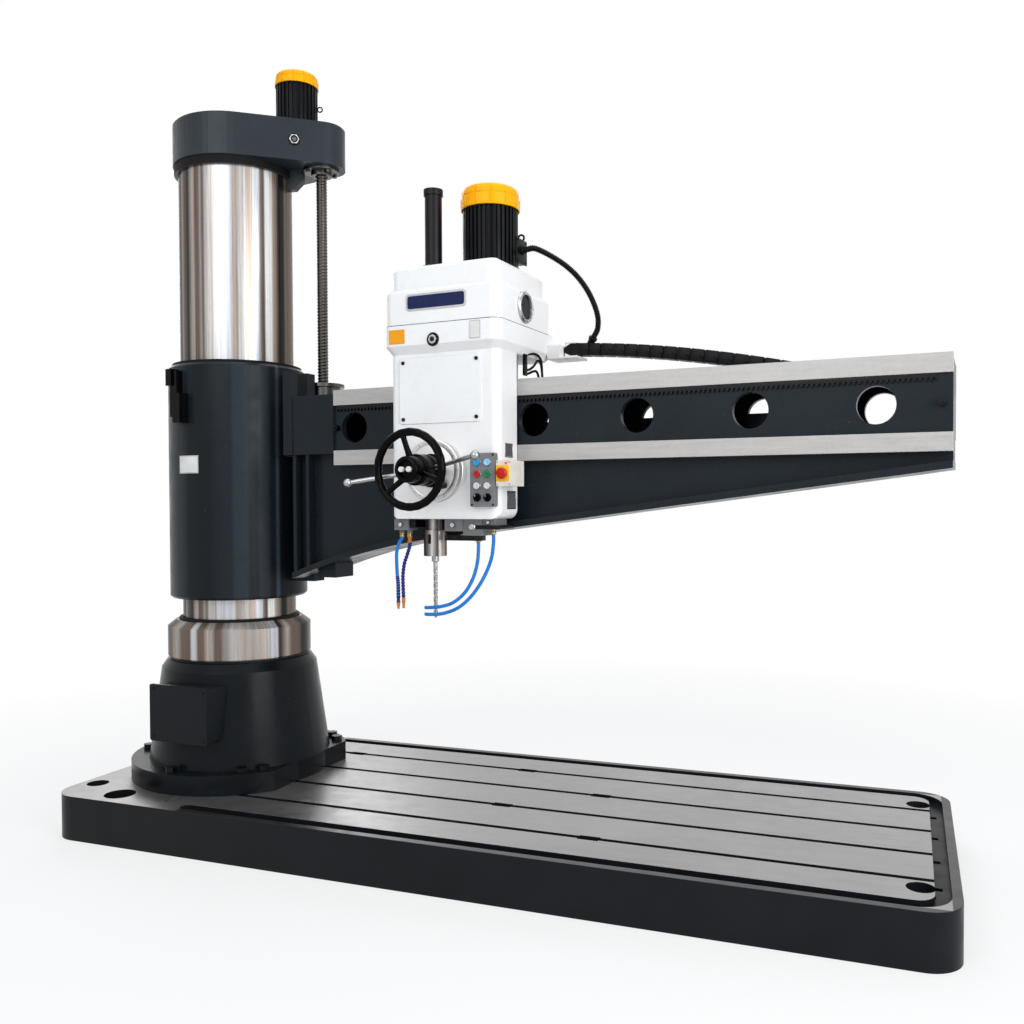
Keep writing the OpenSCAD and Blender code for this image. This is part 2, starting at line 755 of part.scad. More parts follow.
module screw_bearing() {
    color("dimgray") in_arm() at_screw(cap_z - screw_flange_h) {
        difference() {
            union() {
                translate([0, 0, screw_flange_h - 14]) cylinder(r = screw_flange_r, h = 14);
                cylinder(r = screw_r + 20, h = screw_flange_h);
                translate([0, 0, screw_flange_h]) cylinder(r = screw_r + 7.5, h = cap_wall);
            }
            translate([0, 0, -eps]) cylinder(r = screw_r + fit, h = screw_flange_h + cap_wall + 2 * eps);
        }
        for (a = [45:90:315]) rotate(a) translate([screw_flange_r - 16, 0, screw_flange_h - 24])
            cylinder(r = 12, h = 10, $fn = 6);
    }
}
module lift_motor() {
    color("black") in_arm() rotate(cap_turn) translate([lift_motor_x, 0, cap_top]) {
        cylinder(r = lift_motor_r * 1.04, h = 12);
        translate([0, 0, 12 - eps]) ribbed_body(lift_motor_r, lift_motor_h - 12 + eps, lift_fins);
        rotate(eye_turn) translate([lift_motor_r + 12, 0, 42]) rotate([90, 0, 0]) rotate_extrude()
            translate([14, 0]) circle(r = 4);
        rotate(eye_turn) translate([lift_motor_r - 10, 0, 30]) cylinder(r = 8, h = 18);
        span([-40, lift_motor_r - 20, 30], [40, lift_motor_r + 55, 90]);
    }
}
module lift_motor_cowl() {
    color("orange") in_arm() rotate(cap_turn) translate([lift_motor_x, 0, cap_top + lift_motor_h])
        fan_cowl(lift_motor_r, lift_cowl_h);
}
module elevating_screw() {
    color("gray") in_arm() at_screw(0) {
        translate([0, 0, screw_low]) cylinder(r = screw_r, h = screw_top - screw_low);
        translate([0, 0, cap_z + cap_wall + gap]) cylinder(r = screw_r + 24, h = 30);
    }
}

// Arm group
function edge_z(x) = edge_join_z + (x - edge_join) * edge_slope;
// Lower edge of the arm, a curve near the column and then a straight rise to the free end
edge_curve = [for (i = [0:10]) let (t = i / 10)
    mid_point(mid_point(edge_root, edge_mid, t), mid_point(edge_mid, [edge_join, edge_join_z], t), t)];
edge_line = concat(edge_curve, [[arm_reach, edge_end_z]]);
module flat_in_arm(y0, y1) {
    translate([0, y1, 0]) rotate([90, 0, 0]) linear_extrude(y1 - y0) children();
}
module lower_web() {
    flat_in_arm(-web_half, web_half) polygon(concat(edge_line,
        [[arm_reach, beam_bottom + eps], [edge_root[0], beam_bottom + eps]]));
    span([root_start, low_neck_face, edge_root[1] - 24], [web_ribs[0] + eps, web_half, beam_bottom + eps]);
    flat_in_arm(-lip_half, lip_half) polygon(concat(edge_line,
        [for (i = [len(edge_line) - 1:-1:0]) edge_line[i] + [0, lip_t]]));
    for (x = web_ribs)
        span([x, -lip_half, edge_z(x) - web_rib_rise], [x + web_rib_w, lip_half, beam_bottom + eps]);
    span([foot_x[0], -70, foot_z], [foot_x[1], 70, edge_z(foot_x[1])]);
}
module web_cavity() {
    thin = 26;
    shift = lip_t + 14;
    flat_in_arm(-web_half + thin, web_half - thin) polygon([
        [cavity_x[0], edge_z(cavity_x[0]) + shift - 20], [edge_join, edge_join_z + shift],
        [cavity_x[1], edge_z(cavity_x[1]) + shift], [cavity_x[1], beam_bottom - thin],
        [cavity_x[0], beam_bottom - thin]]);
}
module arm_beam() {
    span([root_start, -neck_face, beam_bottom], [cheek_x[1], arm_half, beam_top]);
    span([cheek_x[0], -web_face, beam_bottom], [arm_reach, arm_half, beam_top]);
    span([root_start, -neck_face, beam_bottom], [cheek_x[1], neck_back, cheek_top]);
    rotate(cap_turn) translate([screw_x, 0, beam_bottom])
        cylinder(r = screw_boss_r, h = beam_top - beam_bottom);
    span([way_start, -way_back, way_low_bottom], [arm_reach, -web_half + eps, beam_bottom + eps]);
    span([cheek_x[0], -arm_half - cheek_proud, beam_bottom], [cheek_x[1], -way_back, cheek_top]);
    span([cheek_x[1] - eps, -arm_half, beam_bottom], [way_start - eps, -web_face + eps, beam_top]);
}
module arm_casting() {
    color("darkslategray") in_arm() difference() {
        union() {
            translate([0, 0, sleeve_z]) rotate_extrude() polygon([[0, 0], [sleeve_r - sleeve_edge, 0],
                [sleeve_r, sleeve_edge], [sleeve_r, sleeve_h - sleeve_edge],
                [sleeve_r - sleeve_edge, sleeve_h], [0, sleeve_h]]);
            arm_beam();
            lower_web();
        }
        translate([0, 0, sleeve_z - 200]) cylinder(r = sleeve_bore_r, h = sleeve_h + 400);
        span([-key_w / 2 - key_fit, 0, sleeve_z - eps],
            [key_w / 2 + key_fit, column_r + key_out + key_fit, sleeve_top + eps]);
        span([way_start, -arm_half, way_bottom], [arm_reach + eps, -way_back, beam_top + eps]);
        span([way_start, -arm_half, beam_bottom - eps], [arm_reach + eps, -way_back, way_low_top]);
        span([cavity_x[0], -way_back + arm_wall - 24, beam_bottom + arm_wall],
            [cavity_x[1], arm_half - arm_wall, beam_top - arm_wall]);
        web_cavity();
        for (x = hole_x) translate([x, arm_half + eps, hole_z]) rotate([90, 0, 0])
            cylinder(r = hole_r, h = 2 * arm_half + 2 * eps);
        at_screw(edge_root[1] - 60) cylinder(r = screw_r + 12, h = beam_top);
        at_screw(beam_top - nut_len) cylinder(r = nut_r, h = nut_len + eps);
    }
}
module upper_way() {
    color("silver") in_arm() span([way_start, -arm_half, way_bottom], [arm_reach, -way_back, way_top]);
}
module lower_way() {
    color("silver") in_arm()
        span([way_start, -arm_half, way_low_bottom], [arm_reach, -way_back, way_low_top]);
}
module traverse_rack() {
    tooth = rack_module * 2;
    low = way_bottom - rack_h;
    color("gray") in_arm() difference() {
        span([rack_start, -arm_half + 1, low],
            [rack_start + rack_count * rack_pitch, -web_face, way_bottom]);
        for (i = [0:rack_count - 1]) translate([rack_start + (i + 0.5) * rack_pitch, 0, low - eps])
            flat_in_arm(-arm_half, -web_face + eps) polygon([[-rack_pitch * 0.36, 0],
                [-rack_pitch * 0.16, tooth], [rack_pitch * 0.16, tooth], [rack_pitch * 0.36, 0]]);
    }
}
module lift_nut() {
    color("darkgoldenrod") in_arm() at_screw(beam_top) difference() {
        union() {
            cylinder(r = nut_neck_r, h = nut_neck_h);
            translate([0, 0, nut_neck_h - eps]) cylinder(r = nut_disc_r, h = nut_disc_t + eps);
            translate([0, 0, -nut_len]) cylinder(r = nut_r, h = nut_len + eps);
        }
        translate([0, 0, -nut_len - eps])
            cylinder(r = screw_r + fit, h = nut_len + nut_neck_h + nut_disc_t + 3 * eps);
    }
}
module end_stops() {
    color("black") in_arm() for (x = stop_x) translate([x, -web_face, hole_z]) rotate([90, 0, 0]) {
        cylinder(r = stop_r, h = 26);
        translate([0, 0, 26 - eps]) cylinder(r = stop_r * 0.5, h = 8, $fn = 6);
    }
}
module limit_switch() {
    color("black") in_arm() difference() {
        rotate(switch_turn) union() {
            span([sleeve_r - 30, -42, sleeve_top - 260], [sleeve_r + 34, 10, sleeve_top - 40]);
            span([sleeve_r - 30, -60, sleeve_top - 110], [sleeve_r + 44, -20, sleeve_top - 30]);
            span([sleeve_r - 30, -6, sleeve_top - 290], [sleeve_r + 46, 48, sleeve_top - 150]);
            translate([sleeve_r + 20, -16, sleeve_top - 275]) cylinder(r = 13, h = 20);
        }
        translate([0, 0, sleeve_z]) cylinder(r = sleeve_r, h = sleeve_h + eps);
    }
}
module sleeve_wiper() {
    color("black") in_arm() difference() {
        translate([0, 0, sleeve_top]) ring_pipe(sleeve_r - 20, column_r + gap, wiper_h);
        span([-key_w / 2 - key_fit, 0, sleeve_top - eps],
            [key_w / 2 + key_fit, column_r + key_out + key_fit, sleeve_top + wiper_h + eps]);
    }
}
module cable_tray() {
    back = arm_half + tray_w;
    color("darkslategray") in_arm() {
        span([tray_x[0], arm_half, tray_z[0]], [tray_x[1], back, tray_z[0] + tray_wall]);
        span([tray_x[0], back - tray_wall, tray_z[0]], [tray_x[1], back, tray_z[1]]);
        span([tray_x[0], arm_half, tray_z[0]], [tray_x[1], arm_half + tray_wall, tray_z[1]]);
    }
}
function chain_point(t) =
    mid_point(mid_point(chain_start, chain_mid, t), mid_point(chain_mid, chain_end, t), t);
function chain_bend_r() = (chain_end[1] - chain_h / 2 - chain_low_z) / 2;
// Centre line of the chain: its hanging run, its bend and the run that lies in the tray
function chain_path() =
    let (r = chain_bend_r(), c = chain_end - [0, r])
    concat([for (i = [0:chain_links]) chain_point(i / chain_links)],
        [for (a = [78:-12:-90]) c + r * [cos(a), sin(a)]],
        [for (i = [1:chain_low_links]) c + [-i * chain_low_len / chain_low_links, -r]]);
// One edge of the chain's side view, with a notch between links
function chain_edge(path, side) = [for (i = [0:len(path) - 2])
    let (p = path[i], q = path[i + 1], d = unit(q - p), n = side * [-d[1], d[0]])
    each [p + n * (chain_h / 2 - chain_notch), p + d * chain_gap + n * chain_h / 2,
        q - d * chain_gap + n * chain_h / 2]];
module cable_chain() {
    path = chain_path();
    low = chain_edge(path, -1);
    color("black") in_head() {
        flat_in_arm(chain_y - chain_w / 2, chain_y + chain_w / 2)
            polygon(concat(chain_edge(path, 1), [for (i = [len(low) - 1:-1:0]) low[i]]));
        translate([chain_start[0] + chain_entry[0], chain_y, chain_start[1]])
            cylinder(r = conduit_r + 4, h = chain_h / 2 + chain_entry[1] - 2 * gap);
    }
}

// Head group
module body_outline() {
    translate([-body_left, -body_front + body_corner_r])
        square([body_w, body_front - body_back - body_corner_r]);
    translate([-body_left + body_corner_r, -body_front])
        square([body_w - 2 * body_corner_r, body_corner_r + eps]);
    for (x = [-body_left + body_corner_r, body_right - body_corner_r])
        translate([x, -body_front + body_corner_r]) circle(r = body_corner_r);
}
// Upright bar that rounds off a lower corner of the body
module low_corner(x, side) {
    translate([x - side * body_low_r, 0, body_z + body_low_r]) rotate([90, 0, 0])
        translate([0, 0, -body_front]) linear_extrude(2 * body_front) difference() {
            translate([side > 0 ? 0 : -body_low_r - eps, -body_low_r - eps]) square(body_low_r + eps);
            circle(r = body_low_r);
        }
}
module gear_shell() {
    hull() {
        slab(-body_left, body_right, -body_front, gear_bevel_back, gear_corner_r, gear_z, eps, $fn = 32);
        slab(-gear_left, gear_right, -gear_front, gear_back, gear_corner_r, gear_bevel_z, eps, $fn = 32);
    }
    slab(-gear_left, gear_right, -gear_front, gear_back, gear_corner_r, gear_bevel_z,
        seam_z - gear_bevel_z);
}
module head_casting() {
    inner_back = body_back + head_wall;
    color("white") in_head() difference() {
        union() {
            difference() {
                translate([0, 0, body_z]) linear_extrude(gear_z - body_z + eps) body_outline();
                translate([0, 0, body_z + head_wall]) linear_extrude(gear_z - body_z)
                    translate([-body_left + head_wall, -body_front + head_wall])
                        square([body_w - 2 * head_wall, body_front - inner_back - head_wall]);
                low_corner(-body_left, -1);
                low_corner(body_right, 1);
            }
            difference() {
                gear_shell();
                span([-gear_left + head_wall, -gear_front + head_wall, gear_bevel_z + 4],
                    [gear_right - head_wall, gear_back - head_wall, seam_z + eps]);
            }
            translate([0, -spindle_y, body_z]) cylinder(r = guide_r, h = gear_z - body_z + 20);
            translate([feed_x, -body_front + eps, feed_z]) rotate([90, 0, 0])
                cylinder(r = boss_r2, h = boss_front - body_front + eps);
        }
        translate([0, -spindle_y, body_z - eps]) cylinder(r = quill_fit_r, h = seam_z);
        translate([feed_x, -shaft_back + 2, feed_z]) rotate([90, 0, 0])
            cylinder(r = shaft_r + 6 + fit, h = boss_front - shaft_back + 4);
        for (v = side_vents) span([body_right - vent_deep, v[0][0], v[0][1]],
            [body_right + eps, v[1][0], v[1][1]]);
    }
}
module gearbox_cover() {
    color("white") in_head() difference() {
        union() {
            slab(-gear_left + tier_in, gear_right - tier_in, -gear_front + tier_in, mid_back, gear_corner_r,
                seam_z, step_z - 14 - seam_z);
            hull() {
                slab(-gear_left + tier_in, gear_right - tier_in, -gear_front + tier_in, mid_back,
                    gear_corner_r, step_z - 15, eps, $fn = 32);
                slab(-tier_left - 8, tier_right + 8, -tier_front - 8, tier_back + 16, gear_corner_r - 6,
                    step_z - eps, eps, $fn = 32);
            }
            slab(-tier_left, tier_right, -tier_front, tier_back, gear_corner_r, step_z - 2,
                cover_z - 14 - step_z);
            hull() {
                slab(-tier_left, tier_right, -tier_front, tier_back, gear_corner_r, cover_z - 17, eps,
                    $fn = 32);
                slab(-tier_left + 14, tier_right - 14, -tier_front + 14, tier_back - 14, gear_corner_r - 12,
                    cover_z - eps, eps, $fn = 32);
            }
        }
        span([-tier_left + head_wall, -tier_front + head_wall, seam_z - eps],
            [tier_right - head_wall, tier_back - head_wall, cover_z - 24]);
        translate([0, -spindle_y, seam_z]) cylinder(r = spline_r + 6, h = cover_z - seam_z + eps);
    }
}
module guide_shoes() {
    color("gray") in_head() {
        span([shoe_x[0], -body_back, way_top + gap], [shoe_x[1], gear_bevel_back - 10, way_top + 22]);
        span([shoe_x[0] + 20, -body_back, way_top + 22 - eps],
            [shoe_x[1] - 20, gear_bevel_back - 30, gear_z]);
        span([-body_left + 20, -body_back, way_low_bottom - 40],
            [body_right - 20, -web_half - 8, way_low_bottom - gap]);
        for (z = [way_bottom + 8, way_low_bottom + 8])
            span([-body_left + 20, -body_back, z], [body_right - 20, -arm_half - gap, z + 50]);
    }
}
module front_plate() {
    color("white") in_head() translate([0, -body_front, 0]) rotate([90, 0, 0]) linear_extrude(plate_t)
        round_rect(plate_x[0], plate_x[1], plate_z[0], plate_z[1], 14);
}
module head_screws() {
    inset = 20;
    color("black") in_head() {
        for (x = [plate_x[0] + inset, plate_x[1] - inset])
            for (z = [plate_z[0] + inset, plate_z[1] - inset])
                translate([x, -body_front - plate_t, z]) rotate([90, 0, 0]) cylinder(r = 8, h = 4);
        for (x = [panel_x[0] + 9, panel_x[1] - 9]) for (side = [-1, 1])
            translate([x, -panel_face, panel_z + side * (panel_h / 2 - 9)]) rotate([90, 0, 0])
                cylinder(r = 4, h = 3);
    }
}
module main_motor() {
    color("black") in_head() translate([motor_x, -motor_y, cover_z]) {
        cylinder(r = motor_r * 1.03, h = 16);
        translate([0, 0, 16 - eps]) ribbed_body(motor_r, motor_h - 16 + eps, motor_fins);
    }
}
module main_motor_cowl() {
    color("orange") in_head() translate([motor_x, -motor_y, cowl_z]) fan_cowl(motor_r, cowl_h);
}
module terminal_box() {
    reach = motor_x + motor_r;
    color("black") in_head() {
        difference() {
            span([term_face - term_box[0], -term_y - term_box[1] / 2, term_z],
                [term_face, -term_y + term_box[1] / 2, term_z + term_box[2]]);
            translate([motor_x, -motor_y, term_z - eps]) cylinder(r = motor_r, h = term_box[2] + 2 * eps);
        }
        translate([term_face - eps, -term_y, gland_z]) rotate([0, 90, 0]) {
            cylinder(r = conduit_r + 7, h = 20, $fn = 6);
            cylinder(r = conduit_r + 3, h = gland_len + eps);
        }
        translate([reach + 6, -term_y + 34, term_z + term_box[2] + 16]) rotate([90, 0, 0]) rotate_extrude()
            translate([15, 0]) circle(r = 5);
    }
}
module motor_conduit() {
    run = 0.035;
    body_rings = [for (i = [0:rib_count - 1]) let (s = run + (1 - 2 * run) * i / rib_count)
        for (k = [0, 1]) [s + k * 0.55 * (1 - 2 * run) / rib_count, k == 0 ? conduit_r : conduit_r - 1.8]];
    outer = concat([[0, conduit_r - 1.8]], body_rings, [[1 - run, conduit_r - 1.8], [1, conduit_r - 1.8]]);
    color("black") in_head() difference() {
        route_tube(conduit_route, outer, hose_sides);
        route_tube(conduit_route, [for (i = [0:40]) [i / 40, conduit_bore_r]], hose_sides);
    }
}
module guard_tube() {
    color("black") at_spindle(cover_z) difference() {
        union() {
            cylinder(r = tube_r, h = tube_h);
            translate([0, 0, tube_h - tube_collar_h]) cylinder(r = tube_r + 5, h = tube_collar_h);
            cylinder(r = tube_r + 12, h = 14);
        }
        translate([0, 0, -eps]) cylinder(r = tube_r - tube_wall, h = tube_h - 5);
    }
}
module sight_glasses() {
    color("lightgray") in_head() {
        translate([front_glass[0], -gear_front, front_glass[1]]) rotate([90, 0, 0]) {
            cylinder(r = front_glass_r, h = 6);
            translate([0, 0, 6 - eps]) cylinder(r = front_glass_r * 0.62, h = 3);
        }
        translate([gear_right - tier_in, -side_glass_y, side_glass_z]) rotate([0, 90, 0]) {
            ring_pipe(side_glass_r, side_glass_r - 13, 11);
            cylinder(r = side_glass_r - 13, h = 4);
        }
    }
}
module chain_bracket() {
    y0 = gear_back - 90;
    y1 = chain_y + chain_w / 2;
    color("white") in_head() difference() {
        union() {
            span([bracket_x[0], y0, bracket_z - bracket_t], [bracket_x[1], y1, bracket_z]);
            span([bracket_x[0], y0, bracket_z - eps], [bracket_x[0] + 60, gear_back, bracket_z + 55]);
            span([chain_start[0] - 60, chain_y - chain_w / 2, bracket_z - eps],
                [chain_start[0] - 2, chain_y + chain_w / 2, chain_start[1] + chain_h / 2 + 4]);
        }
        for (x = [-40, 8]) translate([chain_start[0] + x, y0 + 24, bracket_z - bracket_t - eps])
            cylinder(r = 6, h = bracket_t + 2 * eps);
    }
}
module push_panel() {
    color("gray") in_head() difference() {
        translate([0, -body_front, 0]) rotate([90, 0, 0]) linear_extrude(panel_t)
            round_rect(panel_x[0], panel_x[1], panel_z - panel_h / 2, panel_z + panel_h / 2, 8);
        for (i = [0:7]) at_button_local(i) cylinder(r = button_hole_r, h = 60, center = true);
    }
}
// Axis of control i, counted across and then down, pointing out of the panel
module at_button_local(i) {
    x = (panel_x[0] + panel_x[1]) / 2 + (i % 2 - 0.5) * button_pitch[0];
    z = panel_z + (1.5 - floor(i / 2)) * button_pitch[1];
    translate([x, -panel_face, z]) rotate([90, 0, 0]) children();
}
module push_button(i) {
    deep = panel_t - gap;
    in_head() at_button_local(i) {
        translate([0, 0, -deep + button_travel])
            cylinder(r = button_r, h = deep - button_travel + button_out);
        translate([0, 0, button_travel + 1]) cylinder(r = button_r + 3, h = button_out - button_travel - 1);
    }
}
module selector(i) {
    deep = panel_t - gap;
    in_head() at_button_local(i) {
        translate([0, 0, -deep]) cylinder(r = button_r, h = deep + 4);
        translate([0, 0, gap]) cylinder(r = button_r + 4, h = 7);
        span([-4, -button_r - 3, 6], [4, button_r + 3, 22]);
    }
}
module stop_box() {
    color("gold") in_head() difference() {
        span([body_right, -panel_face, stop_z - stop_h / 2],
            [body_right + stop_w, -panel_face + stop_depth, stop_z + stop_h / 2]);
        translate([body_right + stop_w / 2, 0, stop_z]) rotate([90, 0, 0])
            cylinder(r = stop_stem_r + gap, h = panel_face + eps);
    }
}
module stop_button() {
    color("red") in_head() translate([body_right + stop_w / 2, -panel_face, stop_z]) rotate([90, 0, 0]) {
        translate([0, 0, -40]) cylinder(r = stop_stem_r, h = 40 + stop_travel + 2);
        translate([0, 0, stop_travel + 1]) rotate_extrude() polygon([[0, 0], [stop_r2 - 6, 0],
            [stop_r2, 6], [stop_r2, 14], [stop_r2 - 5, 20], [0, 22]]);
    }
}
module hose_fittings() {
    color("gray") in_head() {
        for (b = fitting_blocks) span(b[0], [b[1][0], b[1][1], body_z]);
        for (p = [air_route[0], joint_route[0]]) translate(p)
            cylinder(r = hose_r + 5, h = fitting_blocks[0][0][2] - p[2]);
        for (p = [upper_route[0], lower_route[0]]) translate(p)
            cylinder(r = hose_r + 4, h = fitting_blocks[3][0][2] - p[2]);
    }
}
module jointed_nozzle() {
    stations = concat([[0, joint_r - 3]], [for (i = [0:joint_count - 1]) for (k = [0.15, 0.5, 0.85])
        [(i + k) / joint_count, k == 0.5 ? joint_r : joint_r - 3]], [[1, joint_r - 3]]);
    color("navy") in_head() {
        route_tube(joint_route, stations, hose_sides);
        translate(joint_route[7] + [0, 0, -52]) {
            translate([0, 0, 16]) cylinder(r = hose_r + 3, h = 36);
            cylinder(r = hose_r - 1, h = 17);
        }
    }
}
module air_hose() {
    color("dodgerblue") in_head() {
        plain_hose(air_route, hose_r, 14);
        translate(air_route[7] + [0, 0, -50]) cylinder(r = hose_r + 2, h = 50);
    }
}
module coolant_hose_upper() { color("dodgerblue") in_head() plain_hose(upper_route, hose_r, 20); }
module coolant_hose_lower() { color("dodgerblue") in_head() plain_hose(lower_route, hose_r, 22); }

// Quill and spindle
module quill() {
    bore = spindle_r + fit;
    color("silver") at_spindle(quill_z) difference() {
        cylinder(r = quill_r, h = quill_len);
        translate([0, 0, -eps]) cylinder(r = bore, h = quill_len + 2 * eps);
        translate([0, 0, -eps]) cylinder(r = nose_r - 4, h = 18);
    }
}
module spindle() {
    color("silver") at_spindle(0) difference() {
        union() {
            translate([0, 0, nose_z]) cylinder(r = nose_r, h = nose_head_h);
            translate([0, 0, nose_z]) cylinder(r = spindle_r, h = quill_z - gap - nose_z);
            translate([0, 0, quill_z - eps]) cylinder(r = nose_r - 10, h = 18 - 2 * gap);
            translate([0, 0, nose_z]) cylinder(r = spindle_r, h = quill_z + quill_len - nose_z + 20);
            translate([0, 0, quill_z]) cylinder(r = spline_r, h = spline_top - quill_z);
        }
        translate([0, 0, nose_z - eps]) cylinder(r = taper_r, h = taper_len + eps);
        span([-drift_w / 2, -nose_r - eps, nose_z + slot_rise],
            [drift_w / 2, nose_r + eps, nose_z + slot_rise + slot_h]);
    }
}
module drill() {
    color("gainsboro") at_spindle(0) {
        translate([0, 0, nose_z - 12]) cylinder(r = taper_r - gap, h = taper_len + 8);
        translate([0, 0, nose_z - 26]) cylinder(r = drill_r + 8, h = 16);
        translate([0, 0, nose_z - drill_len + drill_r]) cylinder(r = drill_r, h = drill_len);
        translate([0, 0, nose_z - drill_len]) cylinder(r1 = 0, r2 = drill_r, h = drill_r + eps);
    }
}

// Feed levers and handwheel on the feed axis
module feed_levers() {
    root_r = feed_hub_r - 12;
    lean = atan2(wheel_y - lever_y, lever_reach - root_r);
    color("dimgray") at_feed(0) difference() {
        union() {
            translate([0, 0, dial_y[0]]) cylinder(r = dial_r, h = dial_y[1] - dial_y[0]);
            translate([0, 0, dial_y[1] - eps]) cylinder(r1 = dial_r - 24, r2 = feed_hub_r, h = 36 + eps);
            translate([0, 0, dial_y[1] + 30]) cylinder(r = feed_hub_r, h = feed_hub_y - dial_y[1] - 30);
            translate([0, 0, shaft_back]) cylinder(r = shaft_r + 6, h = dial_y[0] + 20 - shaft_back);
            for (side = [0, 180]) rotate(lever_angle + side) translate([root_r - 8, 0, lever_y])
                rotate([0, 90 - lean, 0]) {
                    reach = (lever_reach - root_r) / cos(lean);
                    cylinder(r1 = lever_r - 1, r2 = lever_r + 1, h = reach);
                    translate([0, 0, reach]) sphere(r = side == 0 ? lever_r * 1.9 : lever_r * 1.7);
                }
        }
        translate([0, 0, shaft_back - eps])
            cylinder(r = shaft_r + fit, h = feed_hub_y - shaft_back + 2 * eps);
    }
}
module handwheel() {
    color("black") at_feed(0) difference() {
        union() {
            translate([0, 0, wheel_y]) rotate_extrude() translate([wheel_r, 0]) circle(r = rim_r);
            for (i = [0:3]) rotate(spoke_turn + 90 * i) translate([hub_r - 14, 0, wheel_y - 22])
                rotate([0, 90 - atan2(22, wheel_r - hub_r), 0])
                    cylinder(r1 = spoke_r + 4, r2 = spoke_r, h = norm([wheel_r - hub_r + 12, 22]));
            translate([0, 0, wheel_hub_y[0]]) cylinder(r = hub_r + 12, h = 45);
            translate([0, 0, wheel_hub_y[0]]) cylinder(r = hub_r, h = wheel_hub_y[1] - wheel_hub_y[0]);
            translate([0, 0, shaft_back + 4]) cylinder(r = shaft_r, h = wheel_hub_y[0] - shaft_back);
        }
        for (x = [-hub_button_x, hub_button_x]) translate([x, 0, wheel_hub_y[1] - 16])
            cylinder(r = hub_button_r + gap, h = 20);
    }
}
module hub_button(x) {
    at_feed(0) translate([x, 0, wheel_hub_y[1] - 16 + hub_button_travel + gap])
        cylinder(r = hub_button_r, h = 20);
}
module clamp_button() { color("white") hub_button(-hub_button_x); }
module release_button() { color("white") hub_button(hub_button_x); }
module selector_left() { color("black") selector(6); }
module selector_right() { color("black") selector(7); }
module button_a() { color("deepskyblue") push_button(0); }
module button_b() { color("lightblue") push_button(1); }
module button_c() { color("red") push_button(2); }
module button_d() { color("green") push_button(3); }
module button_e() { color("white") push_button(4); }
module button_f() { color("white") push_button(5); }

base();
pedestal();
pedestal_bolts();
switch_box();
switch_box_cover();
inner_column();
column_bearings();
outer_column();
column_ring();
guide_key();
top_housing();
screw_bearing();
lift_motor();
lift_motor_cowl();
elevating_screw();
arm_casting();
upper_way();
lower_way();
traverse_rack();
lift_nut();
end_stops();
limit_switch();
sleeve_wiper();
cable_tray();
cable_chain();
head_casting();
gearbox_cover();
guide_shoes();
front_plate();
head_screws();
main_motor();
main_motor_cowl();
terminal_box();
motor_conduit();
guard_tube();
sight_glasses();
chain_bracket();
push_panel();
stop_box();
hose_fittings();
jointed_nozzle();
air_hose();
coolant_hose_upper();
coolant_hose_lower();
quill();
spindle();
drill();
feed_levers();
handwheel();
clamp_button();
release_button();
selector_left();
selector_right();
stop_button();
button_a();
button_b();
button_c();
button_d();
button_e();
button_f();
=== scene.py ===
import json
from math import asin, atan2, cos, hypot, pi, radians, sin

import bmesh
import bpy
from mathutils import Matrix, Vector


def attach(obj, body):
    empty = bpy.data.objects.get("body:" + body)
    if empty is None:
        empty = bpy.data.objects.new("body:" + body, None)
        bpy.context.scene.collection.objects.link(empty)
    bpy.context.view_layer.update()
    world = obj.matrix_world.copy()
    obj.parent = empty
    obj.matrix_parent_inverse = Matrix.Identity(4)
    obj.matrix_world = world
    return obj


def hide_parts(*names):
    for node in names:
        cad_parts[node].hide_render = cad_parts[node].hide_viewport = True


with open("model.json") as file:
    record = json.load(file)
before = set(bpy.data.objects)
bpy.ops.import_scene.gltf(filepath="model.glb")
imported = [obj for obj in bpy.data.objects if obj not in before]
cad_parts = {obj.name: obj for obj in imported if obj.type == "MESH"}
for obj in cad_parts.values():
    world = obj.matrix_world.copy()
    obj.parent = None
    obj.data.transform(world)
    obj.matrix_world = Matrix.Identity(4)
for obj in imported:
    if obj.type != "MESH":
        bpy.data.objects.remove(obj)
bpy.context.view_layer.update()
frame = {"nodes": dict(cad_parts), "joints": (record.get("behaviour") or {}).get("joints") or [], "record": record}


def linked(name, data):
    obj = bpy.data.objects.new(name, data)
    bpy.context.collection.objects.link(obj)
    return obj


# Placements
def shift(place):
    return Matrix.Translation(place)


def spin(angle, axis="Z"):
    return Matrix.Rotation(angle, 4, axis)


# At a point, with +Z along a direction
def aimed(point, direction):
    return shift(point) @ direction.to_track_quat("Z", "Y").to_matrix().to_4x4()


MM = 0.001
JOINTS = {j["name"]: j for j in frame["joints"]}
NODES = frame["nodes"]

# The arm's own axes, and the head's origin: below the spindle's place on the arm, on the column's plane
ARM_X = Vector(JOINTS["head_traverse"]["axis"])
ARM_Y = Vector((-ARM_X.y, ARM_X.x, 0))
SWING = spin(atan2(ARM_X.y, ARM_X.x))
SPINDLE = Vector(JOINTS["spindle_turn"]["pos_m"])
SPINDLE_Y = -SPINDLE.dot(ARM_Y)
HEAD_X = SPINDLE.dot(ARM_X)
FEED = Vector(JOINTS["wheel_turn"]["pos_m"])
FEED_X = FEED.dot(ARM_X) - HEAD_X
SCREW_X = Vector(JOINTS["screw_turn"]["pos_m"]).dot(ARM_X)
SCREW_Y = Vector(JOINTS["screw_turn"]["pos_m"]).dot(ARM_Y)
IN_ARM = SWING
IN_HEAD = SWING @ shift((HEAD_X, 0, 0))
WORLD = Matrix.Identity(4)
UP = Vector((0, 0, 1))


# Camera, at the place and angle that fit the photograph's straight edges
EYE = Vector((3.2179, -4.0630, 1.5559))
EYE_RIGHT, EYE_UP = Vector((0.93793, 0.34680, -0.00337)), Vector((-0.00450, 0.02187, 0.99975))
SENSOR_MM, LENS_MM, SHIFT_X, SHIFT_Y = 36, 33.77, -0.0403, 0.0115


